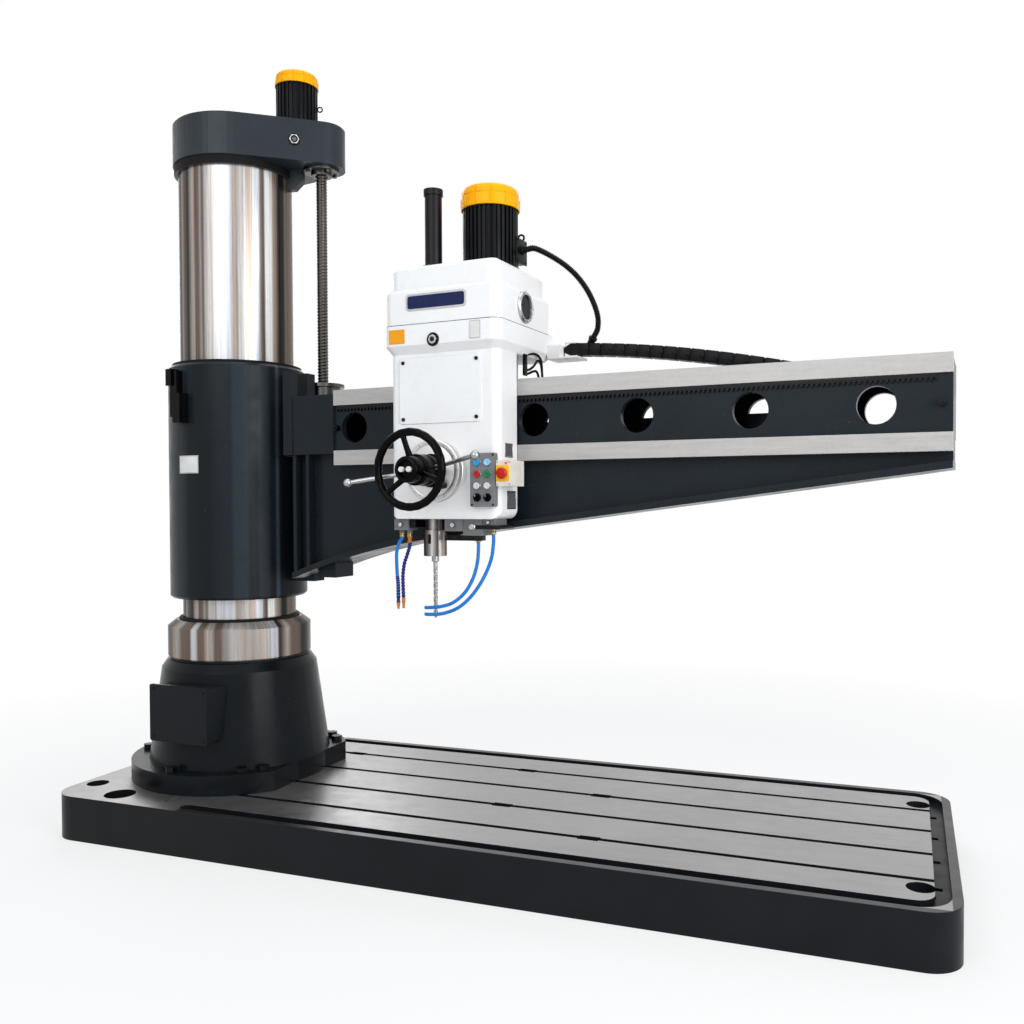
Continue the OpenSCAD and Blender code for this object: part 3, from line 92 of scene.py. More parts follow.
def make_camera():
    data = bpy.data.cameras.new("camera")
    camera = linked("camera", data)
    place = Matrix((EYE_RIGHT, EYE_UP, EYE_RIGHT.cross(EYE_UP))).transposed().to_4x4()
    place.translation = EYE
    camera.matrix_world = place
    data.sensor_width = SENSOR_MM
    data.lens = LENS_MM
    data.shift_x = SHIFT_X
    data.shift_y = SHIFT_Y
    data.clip_start = 0.05
    data.clip_end = 200
    bpy.context.scene.camera = camera


# Turn of the camera's place seen from the column, where the painted reflection bands on polished steel and on the
# sleeve have their middle
FRONT = radians(-51.6)


# Most noise lies between these two values, and a spread takes them to its own two
NOISE_LOW, NOISE_HIGH = 0.3, 0.7


# Node helpers, for a material or the world
class Nodes:
    def __init__(self, tree):
        self.tree = tree

    def node(self, kind, inputs=None, **settings):
        made = self.tree.nodes.new("ShaderNode" + kind)
        for key, value in settings.items():
            setattr(made, key, value)
        for key, value in (inputs or {}).items():
            self.put(made.inputs[key], value)
        return made

    def put(self, socket, value):
        if isinstance(value, bpy.types.NodeSocket):
            self.tree.links.new(value, socket)
        elif socket.type == "RGBA" and len(value) == 3:
            socket.default_value = (*value, 1)
        else:
            socket.default_value = value

    def math(self, operation, *values):
        return self.node("Math", dict(enumerate(values)), operation=operation).outputs[0]

    def vector(self, operation, *values):
        outputs = self.node("VectorMath", dict(enumerate(values)), operation=operation).outputs
        return outputs["Value" if operation == "LENGTH" else "Vector"]

    # Rays for which the backdrop is white: those of the camera, of gloss and of glass
    def seen_rays(self):
        path = self.node("LightPath").outputs
        seen = self.math("MAXIMUM", path["Is Camera Ray"], path["Is Glossy Ray"])
        return self.math("MAXIMUM", seen, path["Is Transmission Ray"])


# A material on the Principled shader, drawn in the piece's own coordinates
class Shade(Nodes):
    def __init__(self, name):
        self.mat = bpy.data.materials.new(name)
        self.mat.use_nodes = True
        super().__init__(self.mat.node_tree)
        self.bsdf = self.tree.nodes["Principled BSDF"]
        self.coord = self.node("TexCoord").outputs["Object"]

    def axes(self, vector):
        return self.node("SeparateXYZ", {"Vector": vector}).outputs

    def upward(self):
        return self.axes(self.node("NewGeometry").outputs["Normal"])["Z"]

    def noise(self, scale, detail=4, stretch=(1, 1, 1), rough=0.55):
        place = self.node("Mapping", {"Vector": self.coord, "Scale": stretch}).outputs[0]
        return self.noise_at(place, scale, detail, rough)

    def noise_at(self, place, scale, detail, rough):
        inputs = {"Vector": place, "Scale": scale, "Detail": detail, "Roughness": rough}
        return self.node("TexNoise", inputs).outputs["Fac"]

    def ramp(self, value, stops):
        made = self.node("ValToRGB", {"Fac": value})
        ramp = made.color_ramp
        while len(ramp.elements) < len(stops):
            ramp.elements.new(0.5)
        for element, (place, colour) in zip(ramp.elements, stops):
            element.position = place
            element.color = (*colour, 1)
        return made.outputs["Color"]

    def remap(self, value, low, high, start=0.0, end=1.0):
        inputs = {"Value": value, "From Min": start, "From Max": end, "To Min": low, "To Max": high}
        return self.node("MapRange", inputs).outputs[0]

    def spread(self, noise, low, high):
        return self.remap(noise, low, high, NOISE_LOW, NOISE_HIGH)

    def mix(self, share, first, second, blend="MIX"):
        made = self.node("Mix", {0: share}, data_type="RGBA", blend_type=blend)
        self.put(made.inputs[6], first)
        self.put(made.inputs[7], second)
        return made.outputs[2]

    # Two colours shared out by a noise
    def mottle(self, noise, first, second):
        return self.mix(self.spread(noise, 0, 1), first, second)

    # Fine relief on an edge softened by the given radius
    def bump(self, height, distance, strength, edge=None):
        inputs = {"Height": height, "Distance": distance, "Strength": strength}
        if edge:
            inputs["Normal"] = self.node("Bevel", {"Radius": edge}, samples=4).outputs[0]
        return self.node("Bump", inputs).outputs[0]

    # Share of a half turn round an upright axis, 0.5 where the surface faces the front
    def half_turn(self, place):
        parts = self.axes(place)
        wobble = self.spread(self.noise(5, 4, (1, 1, 0.05)), -0.012, 0.012)
        turn = self.math("ADD", self.math("ARCTAN2", parts["Y"], parts["X"]), wobble)
        inputs = {"Value": turn, "From Min": FRONT, "From Max": FRONT + pi, "To Min": 0.5, "To Max": 1.5}
        return self.math("FRACT", self.node("MapRange", inputs, clamp=False).outputs[0])

    # Painted reflection bands round an upright axis, each of them (place across the front, from -1 to 1, colour)
    def bands(self, place, stops):
        return self.ramp(self.half_turn(place), [(asin(u) / pi + 0.5, tone) for u, tone in stops])

    def finish(self, colour, rough, metallic=0.0, normal=None, **sockets):
        sockets = {"Base Color": colour, "Roughness": rough, "Metallic": metallic, **sockets}
        if normal is not None:
            sockets["Normal"] = normal
        for key, value in sockets.items():
            self.put(self.bsdf.inputs[key.replace("_", " ")], value)
        return self.mat


def shade_by(colour, factor):
    return tuple(min(1.0, c * factor) for c in colour)


# Enamel on a casting: faint mottling, rubbed spots, orange peel and a softened edge. Bands are painted reflections
# and a painted highlight line, for the sleeve
def enamel(name, colour, rough=0.34, peel=0.00025, edge=0.003, wear=None, mottle=0.12, gloss=0.18, bands=None):
    s = Shade(name)
    broad = s.noise(2.2, 5)
    fine = s.noise(26, 6)
    base = s.mottle(broad, shade_by(colour, 1 - mottle), shade_by(colour, 1 + mottle))
    # Painted reflections on the sleeve: upright lighter and darker bands and a highlight line, only near the
    # sleeve's radius
    if bands:
        away = s.vector("LENGTH", s.vector("MULTIPLY", s.coord, (1, 1, 0)))
        tone = s.bands(s.coord, [(across, shade_by(colour, factor)) for across, factor in bands])
        base = s.mix(s.remap(away, 1, 0, 0.340, 0.352), base, tone)
    base = s.mix(s.remap(fine, 0, 0.35, 0.55, 0.85), base, shade_by(colour, 0.82))
    if wear:
        base = s.mix(s.remap(s.noise(60, 8), 0, 1, 0.70, 0.74), base, wear)
    normal = s.bump(s.noise(420, 3), peel, 0.35, edge)
    roughness = s.spread(s.noise(9, 5), rough - 0.06, rough + 0.1)
    return s.finish(base, roughness, normal=normal, Specular_IOR_Level=gloss)


# Steel with a drawn or turned grain: stretch picks the direction in which the marks run
def steel(name, colour, rough=0.3, stretch=(1, 1, 1), scale=90, stain=None, stain_at=0.6, edge=0.001):
    s = Shade(name)
    marks = s.noise(scale, 7, stretch, 0.7)
    base = s.mottle(marks, shade_by(colour, 0.82), shade_by(colour, 1.1))
    if stain:
        film = s.remap(s.noise(scale / 14, 6, stretch), 0, 0.75, stain_at, stain_at + 0.18)
        base = s.mix(film, base, stain)
    roughness = s.spread(marks, rough - 0.08, rough + 0.1)
    return s.finish(base, roughness, metallic=1.0, normal=s.bump(marks, 0.0001, 0.3, edge))


# Moulded plastic: fine grain, a little colour drift
def plastic(name, colour, rough=0.38, gloss=0.25, grain=0.00012, edge=0.0012):
    s = Shade(name)
    base = s.mottle(s.noise(14, 5), shade_by(colour, 0.88), shade_by(colour, 1.1))
    roughness = s.spread(s.noise(120, 4), rough - 0.05, rough + 0.08)
    normal = s.bump(s.noise(900, 2), grain, 0.4, edge)
    return s.finish(base, roughness, normal=normal, Specular_IOR_Level=gloss)


# Polished steel round an upright axis, with a room's reflection painted in: its tone runs in upright bands of
# painted reflection. Each band is (place across the front, from -1 to 1, tone), and the back half repeats them.
DEEP, BROWN, TAN = (0.013, 0.0145, 0.016), (0.140, 0.102, 0.083), (0.40, 0.335, 0.29)
GREY, PALE, WHITE, BRIGHT = (0.30, 0.285, 0.27), (0.47, 0.455, 0.445), (0.54, 0.555, 0.59), (0.80, 0.80, 0.80)


def banded(name, bands, centre=(0, 0, 0), rough=0.22, run=0.042):
    s = Shade(name)
    place = s.vector("SUBTRACT", s.coord, centre)
    base = s.bands(place, bands)
    flat = s.vector("NORMALIZE", s.vector("MULTIPLY", place, (1, 1, 0)))
    grain = s.vector("ADD", flat, s.vector("MULTIPLY", place, (0, 0, run)))
    fine = s.noise_at(grain, 30, 7, 0.75)
    broad = s.noise_at(grain, 6, 5, 0.6)
    base = s.mix(s.remap(broad, 0, 0.35, 0.56, 0.8), base, BROWN)
    streaks = s.ramp(fine, [(0.34, (0.66, 0.64, 0.62)), (0.5, (0.98, 0.98, 0.98)), (0.66, (1.12, 1.12, 1.12))])
    base = s.mix(1.0, base, streaks, "MULTIPLY")
    # Upward faces run to a dark brown: painted shade
    base = s.mix(s.remap(s.upward(), 0, 0.85, 0.8, 0.97), base, shade_by(BROWN, 0.6))
    roughness = s.spread(fine, rough - 0.05, rough + 0.1)
    normal = s.bump(fine, 0.0001, 0.2, 0.0015)
    return s.finish(base, roughness, metallic=0.5, normal=normal, Specular_IOR_Level=0.3,
        Specular_Tint=(0.5, 0.48, 0.46, 1))


# Places of the painted reflection bands on the column, on the ring and collar under it, and on small turned parts
COLUMN_REFLECTIONS = [(-0.945, DEEP), (-0.925, GREY), (-0.895, BROWN), (-0.82, DEEP), (-0.77, GREY), (-0.73, TAN),
    (-0.70, BROWN), (-0.65, BROWN), (-0.61, GREY), (-0.565, BROWN), (-0.52, PALE), (-0.44, PALE),
    (-0.41, TAN), (-0.385, WHITE), (-0.10, WHITE), (-0.05, TAN), (0.0, TAN), (0.03, PALE), (0.14, PALE),
    (0.17, TAN), (0.25, TAN), (0.28, WHITE), (0.37, WHITE), (0.42, BROWN), (0.465, BROWN), (0.485, BRIGHT),
    (0.58, BRIGHT), (0.61, TAN), (0.70, BROWN), (0.725, DEEP), (0.80, DEEP), (0.825, BROWN)]
RING_REFLECTIONS = [(-0.96, DEEP), (-0.93, BROWN), (-0.88, TAN), (-0.83, GREY), (-0.79, BROWN), (-0.67, BROWN),
    (-0.64, WHITE), (-0.59, PALE), (-0.56, BROWN), (-0.49, BROWN), (-0.44, TAN), (-0.38, GREY),
    (-0.34, BROWN), (-0.27, BROWN), (-0.20, GREY), (-0.06, PALE), (0.02, TAN), (0.20, GREY), (0.30, TAN),
    (0.38, PALE), (0.42, WHITE), (0.49, WHITE), (0.52, DEEP), (0.57, BROWN), (0.63, TAN), (0.70, BROWN),
    (0.80, BROWN), (0.85, DEEP), (0.92, DEEP), (0.95, BROWN)]
NOSE_REFLECTIONS = [(-0.95, DEEP), (-0.78, BROWN), (-0.62, GREY), (-0.50, WHITE), (-0.38, PALE), (-0.28, GREY),
    (-0.12, BROWN), (0.04, DEEP), (0.16, GREY), (0.28, PALE), (0.42, GREY), (0.58, TAN), (0.74, BROWN),
    (0.94, DEEP)]


# Ground way: pale grey iron with long scratches, hand-scraped patches and thin rust-brown stains
def way_ground():
    s = Shade("way_ground")
    long_marks = s.noise(70, 7, (0.02, 1, 1), 0.7)
    patches = s.node("TexVoronoi", {"Vector": s.coord, "Scale": 55}).outputs["Distance"]
    base = s.mottle(long_marks, (0.33, 0.32, 0.31), (0.42, 0.41, 0.40))
    base = s.mix(s.remap(patches, 0.0, 0.16, 0.1, 0.8), base, (0.48, 0.47, 0.46))
    base = s.mix(s.remap(s.noise(5, 8), 0, 0.5, 0.62, 0.74), base, (0.36, 0.31, 0.27))
    roughness = s.spread(long_marks, 0.38, 0.52)
    return s.finish(base, roughness, metallic=0.55, normal=s.bump(long_marks, 0.0001, 0.3, 0.0015))


# Table: planed iron on the upward faces, enamel on the sides and on the lip round the channel. Where these lie:
TABLE_TOP = 0.2
TABLE_END = max(v.co.x for v in NODES["base"].data.vertices)
LIP_SIDE, LIP_END, LIP_START = 0.664, TABLE_END - 0.036, 0.2
FADE = 0.002


def table_iron():
    s = Shade("table_iron")
    spot = s.axes(s.coord)
    top = s.math("MULTIPLY", s.remap(s.upward(), 0, 1, 0.8, 0.95),
        s.remap(spot["Z"], 0, 1, TABLE_TOP - 2 * FADE, TABLE_TOP))
    lip = s.math("MAXIMUM", s.remap(s.math("ABSOLUTE", spot["Y"]), 0, 1, LIP_SIDE - FADE, LIP_SIDE),
        s.remap(spot["X"], 0, 1, LIP_END - FADE, LIP_END))
    lip = s.math("MULTIPLY", lip, s.remap(spot["X"], 0, 1, LIP_START - 10 * FADE, LIP_START))
    planed = s.mottle(s.noise(130, 5, (0.02, 1, 1), 0.7), (0.30, 0.295, 0.295), (0.38, 0.375, 0.375))
    planed = s.mix(s.remap(s.noise(1.6, 6), 0, 0.5, 0.45, 0.75), planed, (0.46, 0.455, 0.455))
    # Darker towards the table's column end: a painted reflection of the dark pedestal
    planed = s.mix(s.remap(spot["X"], 1, 0, 0.1, 3.2), planed, (0.24, 0.236, 0.235))
    planed = s.mix(lip, planed, (0.07, 0.07, 0.072))
    side = s.mottle(s.noise(3, 6), (0.0055, 0.0068, 0.0085), (0.0085, 0.0102, 0.0125))
    side = s.mix(s.remap(s.noise(45, 8), 0, 0.5, 0.70, 0.78), side, (0.03, 0.03, 0.03))
    return s.finish(s.mix(top, side, planed), s.spread(s.noise(12, 5), 0.28, 0.42),
        metallic=s.remap(top, 0.0, 0.85), normal=s.bump(s.noise(240, 3), 0.0003, 0.3, 0.004),
        Specular_IOR_Level=0.12)


def glass(name, colour):
    s = Shade(name)
    base = s.mottle(s.noise(30, 4), shade_by(colour, 0.85), colour)
    return s.finish(base, 0.16, normal=s.bump(s.noise(40, 3), 0.0002, 0.2), Specular_IOR_Level=0.07)


def lamp_red():
    s = Shade("lamp_red")
    base = s.mottle(s.noise(200, 2), (0.6, 0.01, 0.01), (0.85, 0.03, 0.02))
    return s.finish(base, 0.15, Emission_Color=(0.9, 0.02, 0.01, 1), Emission_Strength=0.4)


DARK = (0.0115, 0.0158, 0.0198)
# Painted reflections and a painted highlight line on the sleeve, each of them (place across the front, from -1 to
# 1, tone factor)
SLEEVE_REFLECTIONS = [(-0.98, 0.4), (-0.93, 1.5), (-0.78, 1.5), (-0.70, 0.7), (-0.40, 0.65), (-0.30, 0.95),
    (-0.12, 1.1), (-0.06, 2.0), (0.10, 2.0), (0.16, 0.9), (0.25, 0.8), (0.30, 1.6), (0.40, 1.6),
    (0.46, 0.6), (0.51, 0.8), (0.53, 3.6), (0.55, 3.6), (0.58, 0.7), (0.66, 0.6), (0.80, 0.5), (0.98, 0.4)]
MATS = {
    "grey_paint": enamel("grey_enamel", DARK, 0.3, wear=(0.05, 0.055, 0.06)),
    "sleeve_paint": enamel("sleeve_enamel", DARK, 0.26, wear=(0.05, 0.055, 0.06), gloss=0.1,
        bands=SLEEVE_REFLECTIONS),
    "cap_paint": enamel("cap_enamel", (0.022, 0.029, 0.036), 0.3),
    # The pedestal's grey enamel, darkened: painted shade
    "foot_paint_shaded": enamel("foot_enamel_shaded", shade_by(DARK, 0.42), 0.24, wear=(0.04, 0.045, 0.05), gloss=0.1),
    "box_paint": enamel("box_enamel", (0.0075, 0.0095, 0.0115), 0.36, gloss=0.1),
    "white_paint": enamel("white_enamel", (0.80, 0.80, 0.80), 0.3, edge=0.006, mottle=0.02, gloss=0.3),
    "orange_paint": enamel("orange_enamel", (0.92, 0.40, 0.002), 0.3, edge=0.004, mottle=0.06, gloss=0.1),
    "table_iron": table_iron(),
    "column_steel": banded("column_polish", COLUMN_REFLECTIONS),
    "way_steel": way_ground(),
    "ring_steel": banded("ring_polish", RING_REFLECTIONS),
    "dark_steel": steel("dark_steel", (0.10, 0.098, 0.095), 0.3, (1, 1, 0.03), 120, (0.04, 0.036, 0.032)),
    "screw_steel": steel("screw_steel", (0.085, 0.08, 0.075), 0.26, (1, 1, 0.015), 150, (0.03, 0.027, 0.025)),
    "black_steel": steel("black_steel", (0.018, 0.018, 0.020), 0.4, (1, 1, 1), 160),
    "spindle_steel": steel("spindle_polish", (0.50, 0.495, 0.49), 0.24, (1, 1, 1), 260, (0.25, 0.23, 0.22)),
    "nose_steel": banded("nose_polish", NOSE_REFLECTIONS, tuple(IN_HEAD @ Vector((0, -SPINDLE_Y, 0))), 0.24, 0.24),
    "bright_steel": steel("bright_steel", (0.50, 0.50, 0.50), 0.26, (1, 1, 1), 60),
    "lever_steel": steel("lever_steel", (0.38, 0.38, 0.385), 0.3, (1, 1, 1), 120),
    "drill_steel": steel("drill_steel", (0.34, 0.35, 0.36), 0.34, (1, 1, 0.1), 300),
    "fitting_grey": enamel("fitting_enamel", (0.15, 0.15, 0.155), 0.36, mottle=0.1, gloss=0.2),
    "dial_steel": steel("dial_steel", (0.66, 0.66, 0.66), 0.42, (1, 1, 1), 300, (0.52, 0.51, 0.50)),
    "bronze": steel("bronze", (0.42, 0.27, 0.11), 0.35),
    "motor_black": enamel("motor_enamel", (0.0035, 0.004, 0.005), 0.32, mottle=0.25, gloss=0.1),
    "rubber_black": plastic("wiper_rubber", (0.005, 0.005, 0.005), 0.62, 0.12, 0.0003),
    "panel_grey": enamel("panel_enamel", (0.17, 0.175, 0.185), 0.4),
    "vent_grey": enamel("vent_enamel", (0.10, 0.10, 0.105), 0.45),
    "glass": glass("sight_glass", (0.012, 0.013, 0.014)),
    "plate_blue": enamel("plate_blue", (0.005, 0.011, 0.062), 0.3, 0.0001, 0.0006),
    "plate_orange": enamel("plate_orange", (0.80, 0.33, 0.01), 0.34, 0.0001, 0.0006),
    "plate_silver": steel("plate_silver", (0.46, 0.46, 0.46), 0.34, (0.05, 1, 1), 300),
    "smoked": glass("smoked_glass", (0.16, 0.155, 0.15)),
    "lamp_red": lamp_red(),
}

# Plastics: colour, roughness and, where it isn't the usual one, gloss
PLASTICS = {
    "black_plastic": ((0.0012, 0.0012, 0.0013), 0.14, 0.06),
    "chain_plastic": ((0.0045, 0.005, 0.006), 0.4, 0.12),
    "conduit_plastic": ((0.003, 0.003, 0.0035), 0.34, 0.12),
    "blue_hose": ((0.006, 0.17, 0.56), 0.32),
    "navy_plastic": ((0.006, 0.012, 0.14), 0.3),
    "blue_button": ((0.02, 0.28, 0.62), 0.3),
    "pale_blue_button": ((0.25, 0.52, 0.74), 0.3),
    "red_button": ((0.48, 0.010, 0.006), 0.28),
    "green_button": ((0.006, 0.20, 0.06), 0.3),
    "white_button": ((0.66, 0.66, 0.64), 0.34),
    "box_plastic": ((0.70, 0.67, 0.60), 0.32),
    "yellow_plastic": ((0.84, 0.46, 0.006), 0.34),
    "nozzle_orange": ((0.55, 0.17, 0.02), 0.36),
}
MATS.update({name: plastic(name, *look) for name, look in PLASTICS.items()})
SLOTS = {m["node"]: m["material_slot"] for m in frame["record"]["subparts"]}


# Nodes whose look isn't that of their slot
LOOKS = {"top_housing": "cap_paint", "elevating_screw": "screw_steel", "traverse_rack": "black_steel",
    "column_bearings": "black_steel", "stop_box": "box_plastic", "hose_fittings": "fitting_grey",
    "pedestal": "foot_paint_shaded", "arm_casting": "sleeve_paint", "spindle": "nose_steel", "quill": "nose_steel"}


def dress_nodes():
    for name, obj in NODES.items():
        obj.data.materials.clear()
        obj.data.materials.append(MATS[LOOKS.get(name, SLOTS[name])])


# Shapes are drawn in millimetres, in the head's own axes or, for the bodies named here, in the arm's
IN_ARM_AXES = ("column", "arm", "screw")


# A drawn shape becomes a piece on a body, and stands for a CAD node where one is named
def add_piece(name, bm, mat, slot=None, body="head", node=None, smooth=40):
    bmesh.ops.recalc_face_normals(bm, faces=bm.faces)
    mesh = bpy.data.meshes.new(name)
    bm.to_mesh(mesh)
    bm.free()
    mesh.transform((IN_ARM if body in IN_ARM_AXES else IN_HEAD) @ Matrix.Scale(MM, 4))
    obj = linked(name, mesh)
    mesh.materials.append(MATS[mat])
    mesh.shade_smooth()
    if smooth:
        mesh.set_sharp_from_angle(angle=radians(smooth))
    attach(obj, body)
    if node:
        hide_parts(node)
    return obj


def add_box(bm, low, high, bevel=0.0, steps=2):
    low, high = Vector(low), Vector(high)
    made = bmesh.ops.create_cube(bm, size=1.0)["verts"]
    for v in made:
        v.co = Vector(low[i] + (v.co[i] + 0.5) * (high[i] - low[i]) for i in range(3))
    if bevel:
        edges = dict.fromkeys(e for v in made for e in v.link_edges)
        bmesh.ops.bevel(bm, geom=list(edges), offset=bevel, segments=steps, profile=0.5, affect="EDGES")


# A group of shapes drawn at the origin, then set in its place
def add_placed(bm, place, draw):
    part = bmesh.new()
    draw(part)
    bmesh.ops.transform(part, matrix=place, verts=part.verts)
    mesh = bpy.data.meshes.new("part")
    part.to_mesh(mesh)
    part.free()
    bm.from_mesh(mesh)
    bpy.data.meshes.remove(mesh)


def turns(count, start=0.0):
    return [start + 2 * pi * k / count for k in range(count)]


# Faces between rings of points. A ring of one point is a tip
def skin(bm, rings, caps=False):
    sides = max(len(ring) for ring in rings)
    for a, b in zip(rings, rings[1:]):
        for k in range(sides):
            n = (k + 1) % sides
            corners = dict.fromkeys((a[k % len(a)], a[n % len(a)], b[n % len(b)], b[k % len(b)]))
            if len(corners) > 2:
                bm.faces.new(list(corners))
    if caps:
        bm.faces.new(rings[0][::-1])
        bm.faces.new(rings[-1])


# Turned shape: profile points are (radius, distance along the axis)
def add_lathe(bm, profile, place=WORLD, sides=48):
    rings = []
    for radius, along in profile:
        around = turns(sides) if radius > 0 else [0.0]
        rings.append([bm.verts.new(place @ Vector((radius * cos(a), radius * sin(a), along)))
            for a in around])
    skin(bm, rings)


def facing(x, y, z, direction="front"):
    """Placement whose +Z points out of a face: front is -Y, right is +X, up is +Z, back is +Y."""
    turn = {"front": spin(pi / 2, "X"), "back": spin(-pi / 2, "X"),
        "right": spin(pi / 2, "Y"), "up": WORLD}[direction]
    return shift((x, y, z)) @ turn


# Cylinder-headed screw with a hex socket, standing on a face
def add_socket_screw(bm, place, radius, height):
    deep = height * 0.55
    add_lathe(bm, [(radius * 0.96, 0), (radius, height * 0.1), (radius, height * 0.85), (radius * 0.9, height),
        (radius * 0.52, height)], place, 24)
    add_lathe(bm, [(radius * 0.52, height), (radius * 0.5, height - deep), (0, height - deep)], place, 6)


def catmull(points, steps):
    points = [Vector(p) for p in points]
    ext = [2 * points[0] - points[1], *points, 2 * points[-1] - points[-2]]
    out = []
    for i in range(len(points) - 1):
        a, b, c, d = ext[i:i + 4]
        for k in range(steps):
            t = k / steps
            out.append(0.5 * (2 * b + (c - a) * t + (2 * a - 5 * b + 4 * c - d) * t * t
                + (3 * b - a - 3 * c + d) * t ** 3))
    return out + [points[-1]]


# Tube of a changing radius along a line of points
def add_tube(bm, line, radii, sides=16, caps=True):
    normal = None
    rings = []
    for i, p in enumerate(line):
        ahead = (line[min(i + 1, len(line) - 1)] - line[max(i - 1, 0)]).normalized()
        if normal is None:
            normal = ahead.orthogonal().normalized()
        normal = (normal - ahead * normal.dot(ahead)).normalized()
        side = ahead.cross(normal)
        rings.append([bm.verts.new(p + radii[i] * (cos(a) * normal + sin(a) * side))
            for a in turns(sides)])
    skin(bm, rings, caps)


# Piece of turned shapes, each of them (profile, number of sides)
def add_turned(name, place, shapes, mat, slot=None, **more):
    bm = bmesh.new()
    for profile, sides in shapes:
        add_lathe(bm, profile, place, sides)
    return add_piece(name, bm, mat, slot, **more)


# Lifting eye: a closed loop of wire
def add_eye(bm, centre, across, radius, wire, count):
    loop = [centre + radius * (cos(t) * across + sin(t) * UP) for t in turns(count)]
    add_tube(bm, [*loop, loop[0]], [wire] * (count + 1), 12)


def node_box(name, place=IN_HEAD):
    """Corners of a CAD node in the head's or arm's own axes, in millimetres."""
    back = place.inverted()
    points = [back @ v.co for v in NODES[name].data.vertices]
    low, high = (Vector(pick(p[i] for p in points) for i in range(3)) / MM for pick in (min, max))
    return low, high


def spot_box(name):
    """Corners of a node, and the x and z of its middle."""
    low, high = node_box(name)
    return low, high, (low.x + high.x) / 2, (low.z + high.z) / 2


# Twist drill with two flutes and a point, in the spindle's nose
DRILL_R, COLLAR_R, SHANK, POINT, TWIST = 9.0, 16.0, 26.0, 7.0, 62.0


def make_drill():
    bottom = node_box("drill")[0].z
    nose = node_box("spindle")[0].z
    steps, sides = 90, 24
    height = nose + 10 - bottom
    bm = bmesh.new()
    rings = []
    for i in range(steps + 1):
        up = height * i / steps
        twist = 2 * pi * up / TWIST
        fluted = max(0.0, min(1.0, (nose - SHANK - 30 - bottom - up) / 20))
        taper = min(1.0, up / POINT + 0.04)
        ring = []
        for a in turns(sides):
            dip = max(0.0, cos(2 * a)) ** 0.8 * 0.5 * fluted
            wide = COLLAR_R if bottom + up > nose - SHANK else DRILL_R * taper * (1 - dip)
            ring.append(bm.verts.new((wide * cos(a + twist), -SPINDLE_Y / MM + wide * sin(a + twist),
                bottom + up)))
        rings.append(ring)
    skin(bm, rings, caps=True)
    add_piece("twist_drill", bm, "drill_steel", "dark_steel", body="spindle", node="drill")


# Coolant hoses: the routes are those of the solids, from the head's own axes
HOSES = {
    "coolant_hose_upper": [(228, -262, 1395), (228, -262, 1360), (226, -268, 1305), (212, -280, 1240),
        (182, -296, 1180), (132, -308, 1136), (76, -313, 1117), (20, -314, 1110), (-4, -314, 1109)],
    "coolant_hose_lower": [(300, -262, 1424), (300, -262, 1390), (292, -268, 1320), (262, -282, 1240),
        (216, -298, 1168), (156, -308, 1115), (86, -313, 1088), (24, -314, 1081), (-4, -314, 1081)],
    "air_hose": [(-160, -250, 1424), (-160, -250, 1407), (-175, -252, 1380), (-186, -255, 1340),
        (-186, -256, 1296), (-183, -257, 1245), (-178, -258, 1200), (-177, -258, 1140)],
    "jointed_nozzle": [(-121, -250, 1424), (-121, -250, 1396), (-120, -252, 1370), (-132, -254, 1330),
        (-146, -256, 1290), (-153, -257, 1240), (-152, -258, 1190), (-150, -258, 1140)],
}
HOSE_R = 7.5


def line_length(line):
    return sum((b - a).length for a, b in zip(line, line[1:]))


def make_hoses():
    for name in ("coolant_hose_upper", "coolant_hose_lower", "air_hose"):
        line = catmull(HOSES[name], 8)
        bm = bmesh.new()
        add_tube(bm, line, [HOSE_R] * len(line), 20)
        hose = add_piece(name + "_tube", bm, "blue_hose", node=name)
        if name == "air_hose":
            end = line[-1]
            bm = bmesh.new()
            add_lathe(bm, [(5, -18), (7.5, -20), (7.5, -33), (6, -35), (5, -49), (3, -50), (3, -24)],
                shift(end), 28)
            add_piece("air_nozzle", bm, "nozzle_orange", "blue_hose")
            bm = bmesh.new()
            lower = catmull([*line[42:], end - 21 * UP], 6)
            add_tube(bm, lower, [8.4 + 1.3 * cos(k * 0.62) for k in range(len(lower))], 20)
            add_piece("air_segments", bm, "navy_plastic")


# Jointed nozzle: a row of ball-and-socket segments and a cone
def make_jointed_nozzle():
    line = catmull(HOSES["jointed_nozzle"], 16)
    total = line_length(line)
    bm = bmesh.new()
    radii, run, previous = [], 0.0, line[0]
    for p in line:
        run += (p - previous).length
        previous = p
        phase = (run / total * 20) % 1
        radii.append(6.2 + 2.6 * sin(pi * min(1, phase * 1.25)) ** 0.6)
    add_tube(bm, line, radii, 20)
    add_piece("nozzle_segments", bm, "navy_plastic", node="jointed_nozzle")
    bm = bmesh.new()
    add_lathe(bm, [(5, 2), (8, 0), (8, -20), (6.5, -24), (5.5, -44), (3.5, -46), (3.5, -20)],
        shift(line[-1]), 28)
    add_tube(bm, line[:26], [9.2 if k % 9 < 5 else 7.6 for k in range(26)], 24)
    add_piece("nozzle_tip", bm, "nozzle_orange", "navy_plastic")


# Ribbed conduit from the motor's terminal box to the cable chain
CONDUIT = [Vector(p) for p in ((351, -40, 2656), (391, -40, 2656), (452, -20, 2625), (511, 20, 2582),
    (555, 60, 2532), (588, 106, 2466), (605, 150, 2388), (596, 176, 2330), (570, 191, 2296))]
RIB_PITCH = 7.5


def make_conduit():
    line = catmull(CONDUIT, 60)
    run, radii = 0.0, []
    for p, previous in zip(line, [line[0], *line]):
        run += (p - previous).length
        radii.append(12.1 + 1.6 * cos(2 * pi * run / RIB_PITCH))
    bm = bmesh.new()
    add_tube(bm, line, radii, 18)
    add_piece("conduit_ribs", bm, "conduit_plastic", node="motor_conduit", smooth=0)


